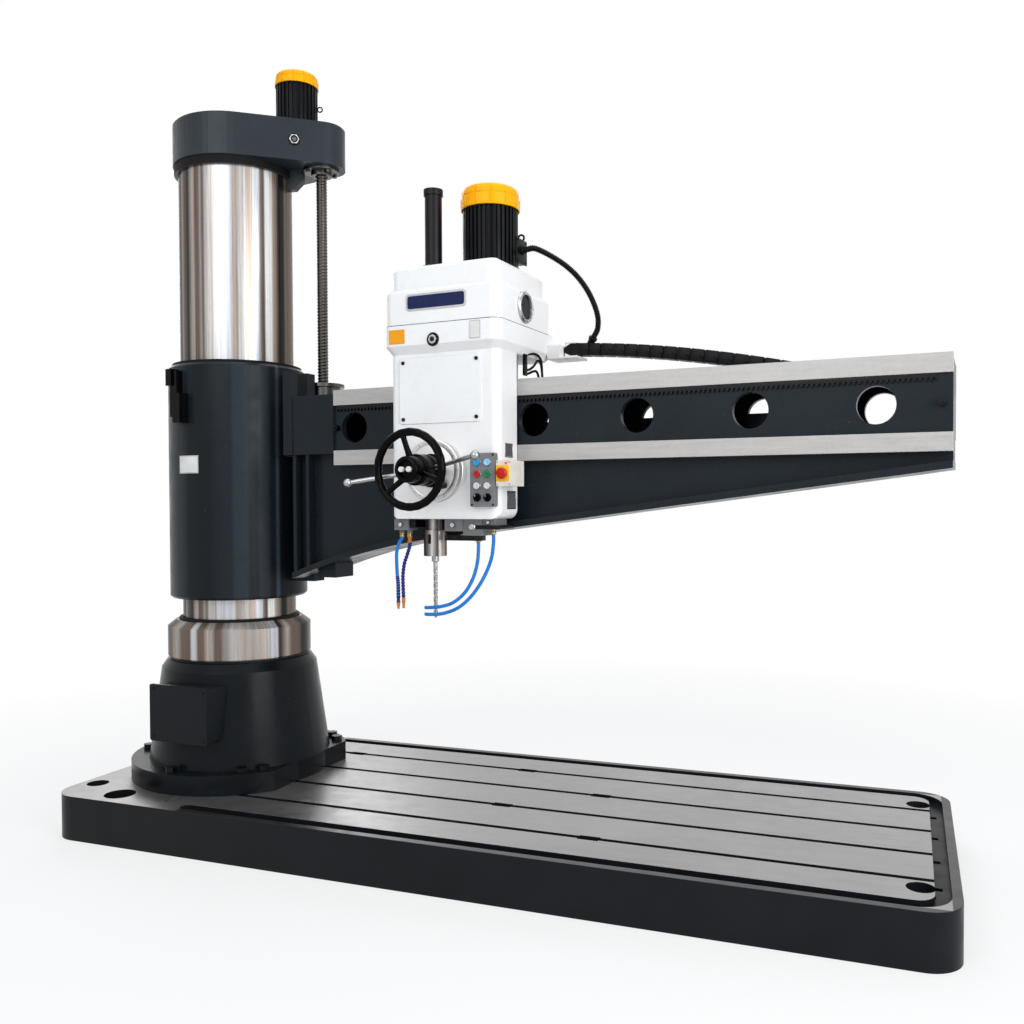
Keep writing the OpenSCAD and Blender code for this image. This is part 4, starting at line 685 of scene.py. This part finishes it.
# Terminal box on the motor's side: lid with screws, gland nut and lifting eye
def make_terminal_box():
    bm = bmesh.new()
    add_box(bm, (283, -88, 2600), (318, 8, 2700), 4, 3)
    add_box(bm, (319, -91, 2597), (329, 11, 2703), 3, 3)
    for y in (-80, 0):
        for z in (2608, 2692):
            add_socket_screw(bm, facing(329, y, z, "right"), 3.6, 3)
    gland = facing(329, -40, 2656, "right")
    add_lathe(bm, [(0, 0), (20, 0), (21, 2), (21, 9), (20, 11), (0, 11)], gland, 6)
    add_lathe(bm, [(0, 10), (16, 10), (16, 19), (14.5, 21.5), (11, 21.5), (11, 12)], gland, 32)
    add_eye(bm, Vector((308, -6, 2718)), Vector((1, 0, 0)), 14, 4.6, 30)
    add_lathe(bm, [(0, 0), (8, 0), (8, 5), (5, 8), (0, 8)], facing(308, -6, 2699, "up"), 20)
    add_piece("terminal_box_lid", bm, "motor_black", node="terminal_box", smooth=30)


# Cable chain: outer and inner link plates on the solids' centre line
CHAIN_Y, CHAIN_W, CHAIN_H = 191.0, 33.0, 27.0


def chain_line():
    start, mid, end = Vector((504, 0, 2243)), Vector((1000, 0, 2215)), Vector((1600, 0, 2065))
    radius = (end.z - node_box("cable_chain")[0].z - CHAIN_H) / 2
    line = [start.lerp(mid, t).lerp(mid.lerp(end, t), t) for t in (i / 18 for i in range(19))]
    line += [end + Vector((radius * cos(a), 0, radius * (sin(a) - 1)))
        for a in (radians(90 - 36 * i) for i in range(1, 6))]
    line += [end + Vector((-65 * i, 0, -2 * radius)) for i in range(1, 9)]
    return line


def add_link(bm, length):
    for side in (-1, 1):
        low_y, high_y = sorted((side * (CHAIN_W - 6), side * CHAIN_W))
        add_box(bm, (-5, low_y, 5 - CHAIN_H), (length + 5, high_y, CHAIN_H - 5), 1.5)
        low_y, high_y = sorted((side * (CHAIN_W - 3), side * (CHAIN_W + 1.6)))
        add_box(bm, (3.5, low_y, -CHAIN_H), (length - 3.5, high_y, CHAIN_H), 2.2)
        pin = shift((length * 0.86, side * (CHAIN_W + 1.4), 0))
        add_lathe(bm, [(0, 0), (9, 0), (9, 1.2), (6, 2.2), (0, 2.2)],
            pin @ spin(-side * pi / 2, "X"), 20)
    for z in (3.2 - CHAIN_H, CHAIN_H - 3.2):
        add_box(bm, (3.5, 2 - CHAIN_W, z - 3.2), (length - 3.5, CHAIN_W - 2, z + 3.2), 1.2)


def make_chain():
    line = chain_line()
    x, z = line[0].x, line[0].z
    near, far = CHAIN_Y - CHAIN_W, CHAIN_Y + CHAIN_W
    bm = bmesh.new()
    for p, q in zip(line, line[1:]):
        d = q - p
        place = shift((p.x, CHAIN_Y, p.z)) @ spin(-atan2(d.z, d.x), "Y")
        add_placed(bm, place, lambda part: add_link(part, d.length))
    add_box(bm, (x - 4, near + 3, z - 20), (x + 14, far - 3, z + 20), 2)
    before, last = CONDUIT[-2:]
    entry = aimed(last, last - before)
    add_lathe(bm, [(12, 0.6), (16, 0.6), (20, 3), (20, 12), (16, 13), (16, 50), (0, 50)], entry, 24)
    bracket = [(430, z - 8), (472, z - 27), (510, z - 27), (510, z + 27), (472, z + 27), (430, z + 4)]
    add_placed(bm, facing(0, 0, 0), lambda part: add_prism(part, bracket, -far - 1, 1 - near))
    add_piece("chain_links", bm, "chain_plastic", node="cable_chain")
    bm = bmesh.new()
    for k in range(3):
        path = catmull([(p.x, CHAIN_Y - 14 + 14 * k, p.z + 2 - k % 2 * 6) for p in line], 3)
        add_tube(bm, path, [7.5] * len(path), 10)
    add_piece("chain_cables", bm, "rubber_black")
    bm = bmesh.new()
    add_box(bm, (x - 60, near - 3, z + 28), (x - 14, far + 3, z + 33), 1.5)
    add_piece("chain_clip", bm, "white_paint")


def rounded_outline(x0, x1, y0, y1, r, steps=8):
    points = []
    for cx, cy, a0 in ((x1 - r, y1 - r, 0), (x0 + r, y1 - r, 90), (x0 + r, y0 + r, 180), (x1 - r, y0 + r, 270)):
        for k in range(steps + 1):
            a = radians(a0 + 90 * k / steps)
            points.append((cx + r * cos(a), cy + r * sin(a)))
    return points


def add_prism(bm, outline, z0, z1):
    skin(bm, [[bm.verts.new((x, y, z)) for x, y in outline] for z in (z0, z1)], caps=True)


# Bare plate in a rim, on a face that looks to the front
def make_plate(name, x0, x1, y, z0, z1, mat, slot, rim="plate_silver", corner=3.0, frame_w=4.0):
    for part, inset, thick, look, its_slot in ((name + "_rim", 0.0, 2, rim, "spindle_steel"),
            (name, frame_w, 2.8, mat, slot)):
        bm = bmesh.new()
        outline = rounded_outline(x0 + inset, x1 - inset, z0 + inset, z1 - inset, corner - inset * 0.6)
        add_prism(bm, outline, 0, thick)
        bmesh.ops.transform(bm, matrix=facing(0, y, 0), verts=bm.verts)
        add_piece(part, bm, look, its_slot)


HEAD_FRONT = -355.0


def make_plates():
    cover = node_box("gearbox_cover")[0].y
    body = max(node_box("head_casting")[0].y, HEAD_FRONT)
    make_plate("blue_plate", -66, 226, cover, 2366, 2437, "plate_blue", "blue_button", corner=16.0, frame_w=8.5)
    make_plate("orange_plate", -150, -72, body, 2232, 2292, "plate_orange", "orange_paint", rim="plate_orange")
    make_plate("small_plate", 243, 294, body, 2230, 2304, "white_button", "white_button")
    bm = bmesh.new()
    for x in (245.6, 291.4):
        for z in (2232.6, 2301.4):
            add_lathe(bm, [(2.2, 0), (2.0, 1), (1.2, 1.7), (0, 2)], facing(x, body - 2, z), 12)
    add_piece("small_plate_rivets", bm, "spindle_steel")


# Seam between the gearbox housing and its cover
def make_seams():
    low, high = node_box("gearbox_cover")
    bm = bmesh.new()
    outline = rounded_outline(low.x - 1.4, high.x + 1.4, low.y - 1.4, high.y + 1.4, 42)
    add_prism(bm, outline, low.z - 0.6, low.z + 2.6)
    add_piece("cover_gasket", bm, "rubber_black")


# Column trims: wiper above the polished ring and the dark band under the top housing
COLUMN_TOP = 3190.0


def make_column_trims():
    z = node_box("column_ring", IN_ARM)[1].z
    wiper = [(275.4, z + 12), (290, z + 12), (293, z + 8), (294, z), (275.4, z)]
    add_turned("foot_wiper", WORLD, [(wiper, 128)], "rubber_black", body="column")
    z = COLUMN_TOP
    band = [(292.3, z + 1), (294, z + 2), (294, z + 38), (292.3, z + 40)]
    add_turned("housing_band", WORLD, [(band, 128)], "rubber_black", body="column")


# Sight glass on the top housing's flat front, which touches its two round ends
CAP_BIG_R, CAP_SMALL_R = 300.0, 118.0


def make_cap_glass():
    turn = atan2(SCREW_Y, SCREW_X)
    face_turn = turn - pi / 2 + asin((CAP_BIG_R - CAP_SMALL_R) * MM / hypot(SCREW_X, SCREW_Y))
    out = Vector((cos(face_turn), sin(face_turn), 0))
    centre = out * (CAP_BIG_R + 0.2) + Vector((-out.y, out.x, 0)) * 275 + UP * 3330
    place = aimed(centre, out)
    ring = [(0, 4), (24, 4), (24, 8), (22, 9.5), (17, 9.5), (15.5, 7), (0, 7)]
    add_turned("cap_glass_ring", place, [(ring, 6)], "dial_steel", "spindle_steel", body="column")
    seal = [(0, 0), (28, 0), (28, 3.4), (26.5, 4.6), (0, 4.6)]
    lip = [(16.5, 8), (17.5, 11.5), (15.5, 13), (13, 13), (12, 8)]
    add_turned("cap_glass_seal", place, [(seal, 40), (lip, 40)], "rubber_black", body="column")
    lens = [(12.6, 7), (9, 9.5), (0, 10.5)]
    add_turned("cap_glass", place, [(lens, 40)], "smoked", "glass", body="column")


# Pressed fan cowls: a stepped shell with shallow ribs, an air slot round it and a grille on top
def add_cowl_ribs(bm, r, h):
    add_box(bm, (r * 0.97, -r * 0.03, h * 0.1), (r * 1.045, r * 0.03, h * 0.52), r * 0.012)
    add_box(bm, (r * 0.93, -r * 0.03, h * 0.6), (r * 1.0, r * 0.03, h * 0.82), r * 0.012)


def make_cowls():
    for name, body, axes, raised in (("main_motor_cowl", "head", IN_HEAD, 0),
            ("lift_motor_cowl", "column", IN_ARM, 26)):
        low, high = node_box(name, axes)
        h = high.z - low.z - raised
        r = (high.x - low.x) / 2 / 1.05 * 1.03
        at = shift(((low.x + high.x) / 2, (low.y + high.y) / 2, low.z + raised))
        bm = bmesh.new()
        add_lathe(bm, [(r, 0), (r * 1.04, 1), (r * 1.04, h * 0.08), (r * 1.015, h * 0.11), (r * 1.015, h * 0.5),
            (r * 1.0, h * 0.53), (r * 0.97, h * 0.545), (r * 0.97, h * 0.58), (r * 0.985, h * 0.6),
            (r * 0.975, h * 0.8), (r * 0.93, h * 0.9), (r * 0.84, h * 0.97), (r * 0.72, h * 0.995),
            (r * 0.3, h), (0, h)], at, 72)
        for turn in turns(12):
            add_placed(bm, at @ spin(turn), lambda part: add_cowl_ribs(part, r, h))
        add_piece(name + "_shell", bm, "orange_paint", body=body, node=name, smooth=30)
        bm = bmesh.new()
        for inner in (0.16, 0.28, 0.4, 0.52, 0.64):
            outer = inner + 0.05
            add_lathe(bm, [(r * inner, h - 2), (r * inner, h + 0.4), (r * outer, h + 0.4), (r * outer, h - 2)],
                at, 48)
        add_piece(name + "_grille", bm, "motor_black", body=body, smooth=30)


# Lift motor: foot flange, fins up into the cowl, a lifting eye and a terminal box at the back
FIN_TURN, EYE_TURN = radians(18), radians(24.3)


def make_lift_motor():
    foot = node_box("lift_motor", IN_ARM)[0].z
    low, high = node_box("lift_motor_cowl", IN_ARM)
    centre = Vector(((low.x + high.x) / 2, (low.y + high.y) / 2, foot))
    at = shift(centre)
    r, top, fins = 102.0, low.z - foot + 30, 28
    bm = bmesh.new()
    add_lathe(bm, [(0, 0), (r * 1.04, 0), (r * 1.04, 10.5), (r * 1.025, 12), (r * 0.915, 12), (r * 0.915, top),
        (0, top)], at, 84)
    for turn in turns(fins, FIN_TURN + pi / fins):
        add_placed(bm, at @ spin(turn),
            lambda part: add_box(part, (r * 0.9, -5.6, 11), (r, 5.6, top - 1), 1.6))
    out = Vector((cos(EYE_TURN), sin(EYE_TURN), 0))
    eye = centre + out * 116
    eye.z = 3540
    add_eye(bm, eye, out, 12, 3.4, 28)
    add_lathe(bm, [(0, 0), (7, 0), (7, 8), (4.5, 10), (4.5, 17), (0, 17)],
        aimed(eye - out * 28, out), 20)
    add_placed(bm, at @ spin(FIN_TURN),
        lambda part: add_box(part, (-40, r - 20, 30), (40, r + 55, 90), 4))
    add_piece("lift_motor_body", bm, "motor_black", body="column", node="lift_motor", smooth=30)


# Push-buttons with domed caps, each on its own body, and a bright bezel for every control
BUTTONS = ("button_a", "button_b", "button_c", "button_d", "button_e", "button_f")
SELECTORS = ("selector_left", "selector_right")


def add_screws(bm, xs, y, zs, radius, height):
    for x in xs:
        for z in zs:
            add_socket_screw(bm, facing(x, y, z), radius, height)


def make_controls():
    panel_low, panel_high = node_box("push_panel")
    face = panel_low.y
    bm = bmesh.new()
    for name in BUTTONS + SELECTORS:
        x, z = spot_box(name)[2:]
        add_lathe(bm, [(15.2, 0), (16.4, 0.5), (16.4, 2.2), (15.6, 3.0), (15.2, 2.2)], facing(x, face, z), 36)
    add_piece("control_bezels", bm, "spindle_steel")
    bm = bmesh.new()
    add_screws(bm, (panel_low.x + 8, panel_high.x - 8), face, (panel_low.z + 8, panel_high.z - 8),
        3.6, 2.6)
    add_piece("panel_screws", bm, "black_steel")
    for name in BUTTONS:
        low, high, x, z = spot_box(name)
        r = (high.x - low.x) / 2
        out, stem = face - low.y, high.y - face
        cap = [(0, -stem), (r - 3.2, -stem), (r - 3.2, out - 6.5), (r - 0.4, out - 6), (r, out - 5),
            (r, out - 2.2), (r - 1.4, out - 0.7), (r - 3.5, out), (r - 5.5, out - 1), (r * 0.3, out - 1.6),
            (0, out - 1.7)]
        add_turned(name + "_cap", facing(x, face, z), [(cap, 40)], SLOTS[name], body=name, node=name)


# Knobs of the two selectors: a tapered grip with a white pointer line
def make_selectors():
    face = node_box("push_panel")[0].y
    for name in SELECTORS:
        low, high, x, z = spot_box(name)
        bm = bmesh.new()
        add_lathe(bm, [(0, face - high.y), (14, face - high.y), (14, 0.6), (17, 1), (17.5, 3), (16.5, 7),
            (12, 8), (0, 8)], facing(x, face, z), 36)
        add_box(bm, (x - 4.5, low.y, z - 15), (x + 4.5, face - 5, z + 15), 1.8, 3)
        add_piece(name + "_knob", bm, "black_plastic", body=name, node=name)
        bm = bmesh.new()
        add_box(bm, (x - 0.8, low.y - 0.3, z + 2), (x + 0.8, low.y + 1, z + 13))
        add_piece(name + "_mark", bm, "white_button", body=name)


# Stop station: yellow face plate, a red lamp and lid screws
def make_stop():
    low, high, x, z = spot_box("stop_box")
    bm = bmesh.new()
    add_box(bm, (low.x + 1, low.y - 2.4, z - 33), (low.x + 60, low.y + 1, z + 33), 1.5, 3)
    add_piece("stop_plate", bm, "yellow_plastic")
    bm = bmesh.new()
    add_screws(bm, (low.x + 6, high.x - 6), low.y, (low.z + 7, high.z - 7), 3.4, 2)
    add_piece("stop_box_screws", bm, "spindle_steel")
    lamp = [(5, 0), (5, 4), (3, 6.5), (0, 7.2)]
    add_turned("stop_lamp", facing(x + 14, low.y, high.z - 11), [(lamp, 24)], "lamp_red", "red_button")


# Feed levers with their graduated dial: a pale dial, a black hub and two bright levers with ball ends
FEED_AXIS = facing(FEED_X / MM, 0, FEED.z / MM)
LEVER_TURN, LEVER_REACH, LEVER_FALL, LEVER_OUT = radians(9.5), 312.0, 110.0, 450
HUB_R, DIAL_R, DIAL_BACK, DIAL_FACE = 62.0, 131.0, 350.3, 392.0


def make_levers():
    r, near, far = DIAL_R, DIAL_BACK, DIAL_FACE
    dial = [(0, near), (r - 2, near), (r, near + 2), (r, near + 8), (r - 2, near + 10), (r - 2, far - 14),
        (r, far - 12), (r, far - 2), (r - 3, far), (r - 20, far), (r - 22, far - 1.4), (r - 24, far - 1.4),
        (r - 26, far), (0, far)]
    add_turned("feed_dial", FEED_AXIS, [(dial, 128)], "dial_steel", "spindle_steel", body="feed",
        node="feed_levers")
    r = HUB_R
    bm = bmesh.new()
    add_lathe(bm, [(0, far - 1), (r + 8, far - 1), (r + 8, far + 6), (r - 4, far + 10), (r - 6, far + 30),
        (r, far + 34), (r, 440), (r + 3, 443), (r + 3, 462), (r, 466), (r - 2, 474), (0, 474.5)], FEED_AXIS, 72)
    add_lathe(bm, [(0, far - 1), (13, far - 1), (13, far + 20), (16, far + 22), (16, far + 34), (13, far + 37),
        (0, far + 37.5)], FEED_AXIS @ shift((r, -r, 0)), 28)
    back = -node_box("feed_levers")[1].y
    add_lathe(bm, [(0, back), (22, back), (22, near + 4), (0, near + 4)], FEED_AXIS, 40)
    add_piece("feed_hub", bm, "black_plastic", body="feed", node="feed_levers")
    root = HUB_R - 12
    lean = atan2(LEVER_FALL, LEVER_REACH - root)
    reach = (LEVER_REACH - root) / cos(lean)
    bm = bmesh.new()
    for turn, ball in ((0.0, 19.0), (pi, 17.5)):
        place = (FEED_AXIS @ spin(LEVER_TURN + turn)
            @ shift((root - 8, 0, LEVER_OUT)) @ spin(pi / 2 - lean, "Y"))
        arc = [(ball * sin(a), reach - ball * cos(a)) for a in
            (radians(30 + 150 * k / 14) for k in range(14))]
        add_lathe(bm, [(0, 0), (12, 0), (12, 26), (9, 32), (8.4, 60), (9.6, reach - ball - 26),
            (9.0, reach - ball - 8), *arc, (0, reach + ball)], place, 32)
    add_piece("feed_lever_bars", bm, "lever_steel", "spindle_steel", body="feed", node="feed_levers")
    bm = bmesh.new()
    edge = DIAL_R - 4
    for k, turn in enumerate(turns(120)):
        long, half = (14, 0.8) if k % 10 == 0 else (9, 0.5) if k % 5 == 0 else (6, 0.5)
        add_placed(bm, FEED_AXIS @ spin(turn),
            lambda part: add_box(part, (edge - long, -half, far - 0.5), (edge, half, far + 0.3)))
    add_piece("dial_marks", bm, "black_plastic", body="feed")


# Handwheel: a rim with finger waves, three spokes, a stepped hub and two buttons in its face
WHEEL_R, WHEEL_OUT, WAVES = 150, 560, 24
SPOKE = ((44, 536, 17), (56, 539, 15), (75, 545, 12.5), (100, 552, 11.5), (122, 557, 11.5), (140, 560, 13))


def make_handwheel():
    bm = bmesh.new()
    around = [*turns(144), 2 * pi]
    rim = [FEED_AXIS @ Vector((WHEEL_R * cos(t), WHEEL_R * sin(t), WHEEL_OUT)) for t in around]
    add_tube(bm, rim, [16.5 + 0.5 * cos(WAVES * t) for t in around], 24, caps=False)
    for turn in (radians(degrees) for degrees in (102, 222, 342)):
        line = [FEED_AXIS @ Vector((r * cos(turn), r * sin(turn), out)) for r, out, wide in SPOKE]
        add_tube(bm, line, [wide for r, out, wide in SPOKE], 20)
    add_lathe(bm, [(0, 476), (62, 476), (64, 478), (64, 517), (62, 519), (54, 521), (54, 528), (50, 530),
        (50, 536), (54, 538), (54, 580), (52, 587), (48, 591), (38, 592), (36, 590), (36, 574), (0, 574)],
        FEED_AXIS, 72)
    add_piece("wheel_rim", bm, "black_plastic", body="wheel", node="handwheel")
    cap = [(0, 577.5), (10, 577.5), (11, 579), (11, 596), (10.2, 598), (7.5, 599.2), (6, 598.4), (0, 598)]
    for name, x in (("clamp_button", -17.5), ("release_button", 17.5)):
        place = FEED_AXIS @ shift((x, 0, 0))
        add_turned(name + "_cap", place, [(cap, 36)], SLOTS[name], body=name, node=name)


# Elevating screw: a trapezoidal thread
SCREW_LEAD, SCREW_R, THREAD = 16.0, 25.6, 1.6


def make_screw():
    low, high = node_box("elevating_screw", IN_ARM)
    sides, rows = 28, int((high.z - low.z) / 3.2)
    bm = bmesh.new()
    rings = []
    for i in range(rows + 1):
        z = low.z + (high.z - low.z) * i / rows
        ring = []
        for k, a in enumerate(turns(sides)):
            wave = min(1.0, max(-1.0, 1.5 * cos(2 * pi * (z / SCREW_LEAD - k / sides))))
            wide = SCREW_R + THREAD * wave
            ring.append(bm.verts.new((SCREW_X / MM + wide * cos(a), SCREW_Y / MM + wide * sin(a), z)))
        rings.append(ring)
    skin(bm, rings, caps=True)
    add_piece("screw_thread", bm, "screw_steel", "dark_steel", body="screw", node="elevating_screw", smooth=25)


# Oil sight glasses: a bright ring, a dark lens and its screws
def make_glasses():
    front = facing(68, HEAD_FRONT, 2240)
    side = facing(node_box("gearbox_cover")[1].x, -112, 2390, "right")
    rings, lenses = bmesh.new(), bmesh.new()
    add_lathe(lenses, [(29, 0), (29, 3), (27, 5), (21, 5), (20, 2), (0, 2)], front, 56)
    add_lathe(rings, [(19.5, 1), (19.5, 8), (17, 10), (12, 10), (10.5, 5), (0, 5)], front, 8)
    add_lathe(lenses, [(9.5, 4), (9, 6.4), (5, 8), (0, 8.6)], front, 40)
    add_lathe(rings, [(68, 0), (68, 7), (64, 12), (57, 14), (53, 12), (51.5, 2)], side, 80)
    add_lathe(lenses, [(52, 2), (50, 4), (0, 5)], side, 72)
    for a in turns(6, radians(30)):
        at = side @ shift((60.5 * cos(a), 60.5 * sin(a), 12.4))
        add_socket_screw(lenses, at, 2.6, 1.8)
    add_piece("glass_rings", rings, "bright_steel", "spindle_steel", node="sight_glasses")
    add_piece("glass_lenses", lenses, "glass", node="sight_glasses")


# Pipe block, valve and clamps under the head
def make_under_head():
    bm = bmesh.new()
    add_box(bm, (76, -286, 1396), (252, -238, 1419), 3)
    add_box(bm, (232, -296, 1446), (352, -168, 1462), 3)
    add_box(bm, (-100, -280, 1448), (-72, -196, 1489), 3)
    add_screws(bm, (100, 150, 214), -286, (1408,), 6, 5)
    add_piece("pipe_bar", bm, "black_steel")
    bm = bmesh.new()
    for x, y, z, r, sides in ((128, -300, 1462, 13, 6), (215, -290, 1455, 15, 24), (290, -284, 1474, 9, 6),
            (-141, -286, 1462, 12, 6)):
        add_lathe(bm, [(0, 0), (r, 0), (r, 4), (r * 0.8, 7), (r * 0.8, 11), (r * 0.45, 12.5), (0, 12.5)],
            facing(x, y, z), sides)
    add_piece("pipe_plugs", bm, "bright_steel", "spindle_steel")


# Vent insets in the body's right side
BODY_RIGHT, LOUVRES = 357.0, 6


def make_vents():
    slats, rims = bmesh.new(), bmesh.new()
    x = BODY_RIGHT
    for y0, y1, z0, z1 in ((-264, -192, 1745, 1804), (-248, -164, 1529, 1605)):
        add_box(slats, (x - 7, y0, z0), (x - 3, y1, z1))
        for i in range(LOUVRES):
            z = z0 + (z1 - z0) * (i + 0.5) / LOUVRES
            add_box(slats, (x - 4, y0 + 5, z - 2.6), (x - 0.8, y1 - 5, z + 1.2), 0.8)
        for low_y, low_z, high_y, high_z in ((y0, z0, y1, z0 + 4), (y0, z1 - 4, y1, z1), (y0, z0, y0 + 4, z1),
                (y1 - 4, z0, y1, z1)):
            add_box(rims, (x - 5, low_y, low_z), (x + 0.6, high_y, high_z), 0.5)
    add_piece("side_vents", slats, "vent_grey", "panel_grey")
    add_piece("side_vent_frames", rims, "spindle_steel")


# Brass nuts and short sleeves on the hoses
def make_hose_nuts():
    bm = bmesh.new()
    for name, drop in (("coolant_hose_upper", 4), ("coolant_hose_lower", 0), ("air_hose", 16),
            ("jointed_nozzle", 16)):
        place = shift(Vector(HOSES[name][0]) - drop * UP)
        add_lathe(bm, [(8.2, 0), (12.5, 1), (12.5, 8), (10.6, 9.5), (10.6, 14), (12.2, 15), (12.2, 20),
            (8.2, 21)], place, 30)
    add_piece("hose_nuts", bm, "bronze")


# Bare plate on the sleeve's front, bent round it. It stands inside its rim by the inset
SLEEVE_R = 334.0
SLEEVE_TURNS = radians(-102), radians(-81)
SLEEVE_HEIGHTS = 1702.0, 1788.0


def make_sleeve_plate():
    for name, inset, lift, mat, slot in (("sleeve_plate_rim", 0.0, 1.6, "plate_silver", "spindle_steel"),
            ("sleeve_plate", 5.0, 2.3, "white_button", "white_button")):
        inner, outer = SLEEVE_R - 0.5, SLEEVE_R + lift
        low, high = SLEEVE_HEIGHTS[0] + inset, SLEEVE_HEIGHTS[1] - inset
        start, end = SLEEVE_TURNS[0] + inset / 400, SLEEVE_TURNS[1] - inset / 400
        bm = bmesh.new()
        section = ((inner, low), (outer, low), (outer, high), (inner, high))
        skin(bm, [[bm.verts.new((r * cos(a), r * sin(a), z)) for r, z in section]
            for a in (start + (end - start) * k / 14 for k in range(15))], caps=True)
        add_piece(name, bm, mat, slot, body="arm")


# Small cables that leave the body's side and drop behind the upper way
SMALL_CABLES = (
    ((350, -74, 2188), (364, -40, 2202), (374, 6, 2206), (378, 44, 2186), (377, 58, 2140), (377, 60, 2096)),
    ((350, -70, 2130), (362, -44, 2134), (370, -14, 2152), (374, 18, 2180), (374, 50, 2172), (372, 70, 2130),
        (372, 72, 2096)),
    ((350, -66, 2112), (360, -44, 2118), (366, -18, 2128), (368, 16, 2134), (367, 40, 2118), (366, 48, 2096)))


def make_small_cables():
    bm = bmesh.new()
    for route in SMALL_CABLES:
        line = catmull(route, 10)
        add_tube(bm, line, [5.4] * len(line), 12)
    add_piece("small_cables", bm, "rubber_black")
    bm = bmesh.new()
    add_box(bm, (340, 34, 2090), (386, 84, 2104), 3, 3)
    add_box(bm, (356.5, -96, 2104), (362, -58, 2206), 1.2)
    for z in (2118, 2192):
        add_socket_screw(bm, facing(362, -88, z, "right"), 3.4, 3)
    add_piece("cable_block", bm, "black_plastic")


def make_scene():
    for make in (dress_nodes, make_drill, make_hoses, make_jointed_nozzle, make_conduit, make_chain, make_plates,
            make_seams, make_column_trims, make_cap_glass, make_cowls, make_lift_motor, make_levers,
            make_handwheel, make_screw, make_terminal_box, make_glasses, make_under_head, make_controls,
            make_selectors, make_stop, make_vents, make_hose_nuts, make_sleeve_plate, make_small_cables):
        make()


# Floor, light and world. Away from the machine the floor glows white, and so does the world where it is seen
FLOOR_SIZE = 60
GLOW_CENTRE, GLOW_START, GLOW_FULL = (1.3, 0, 0), 2.6, 5.2


def make_stage():
    floor_mesh = bpy.data.meshes.new("floor")
    corners = [(x * FLOOR_SIZE, y * FLOOR_SIZE, 0) for x, y in ((-1, -1), (1, -1), (1, 1), (-1, 1))]
    floor_mesh.from_pydata(corners, [], [(0, 1, 2, 3)])
    floor = linked("floor", floor_mesh)
    floor.location.z = -MM
    s = Shade("floor")
    s.finish((0.80, 0.80, 0.80), 0.8)
    away = s.vector("LENGTH", s.vector("SUBTRACT", s.coord, GLOW_CENTRE))
    share = s.math("MULTIPLY", s.seen_rays(), s.remap(away, 0.66, 1.0, GLOW_START, GLOW_FULL))
    glow = s.node("Emission", {"Color": (1, 1, 1), "Strength": 1.0}).outputs[0]
    both = s.node("MixShader", {0: share, 1: s.bsdf.outputs[0], 2: glow}).outputs[0]
    s.put(s.tree.nodes["Material Output"].inputs["Surface"], both)
    floor_mesh.materials.append(s.mat)

    world = bpy.data.worlds.new("world")
    bpy.context.scene.world = world
    world.use_nodes = True
    w = Nodes(world.node_tree)
    plain = w.tree.nodes["Background"]
    w.put(plain.inputs[0], (0.86, 0.93, 1.0))
    w.put(plain.inputs[1], 0.5)
    white = w.node("Background", {0: (1, 1, 1), 1: 1.0}).outputs[0]
    both = w.node("MixShader", {0: w.seen_rays(), 1: plain.outputs[0], 2: white}).outputs[0]
    w.put(w.tree.nodes["World Output"].inputs["Surface"], both)
    add_area("key", (0.6, -7.0, 5.5), (1.2, 0, 1.6), 5.0, 215)
    add_area("fill", (7.5, -3.2, 3.0), (1.5, 0, 1.6), 4.0, 300)
    add_area("top", (1.5, 0.5, 8.0), (1.4, 0, 1.0), 6.0, 210)
    add_area("back", (-4.0, 5.0, 4.5), (0.5, 0, 1.5), 4.0, 110)


def add_area(name, place, target, size, power):
    data = bpy.data.lights.new(name, "AREA")
    data.size = size
    data.energy = power
    lamp = linked(name, data)
    lamp.location = place
    lamp.rotation_euler = (Vector(target) - Vector(place)).to_track_quat("-Z", "Y").to_euler()


make_camera()
make_scene()
make_stage()
bpy.context.scene.view_settings.view_transform = "Standard"
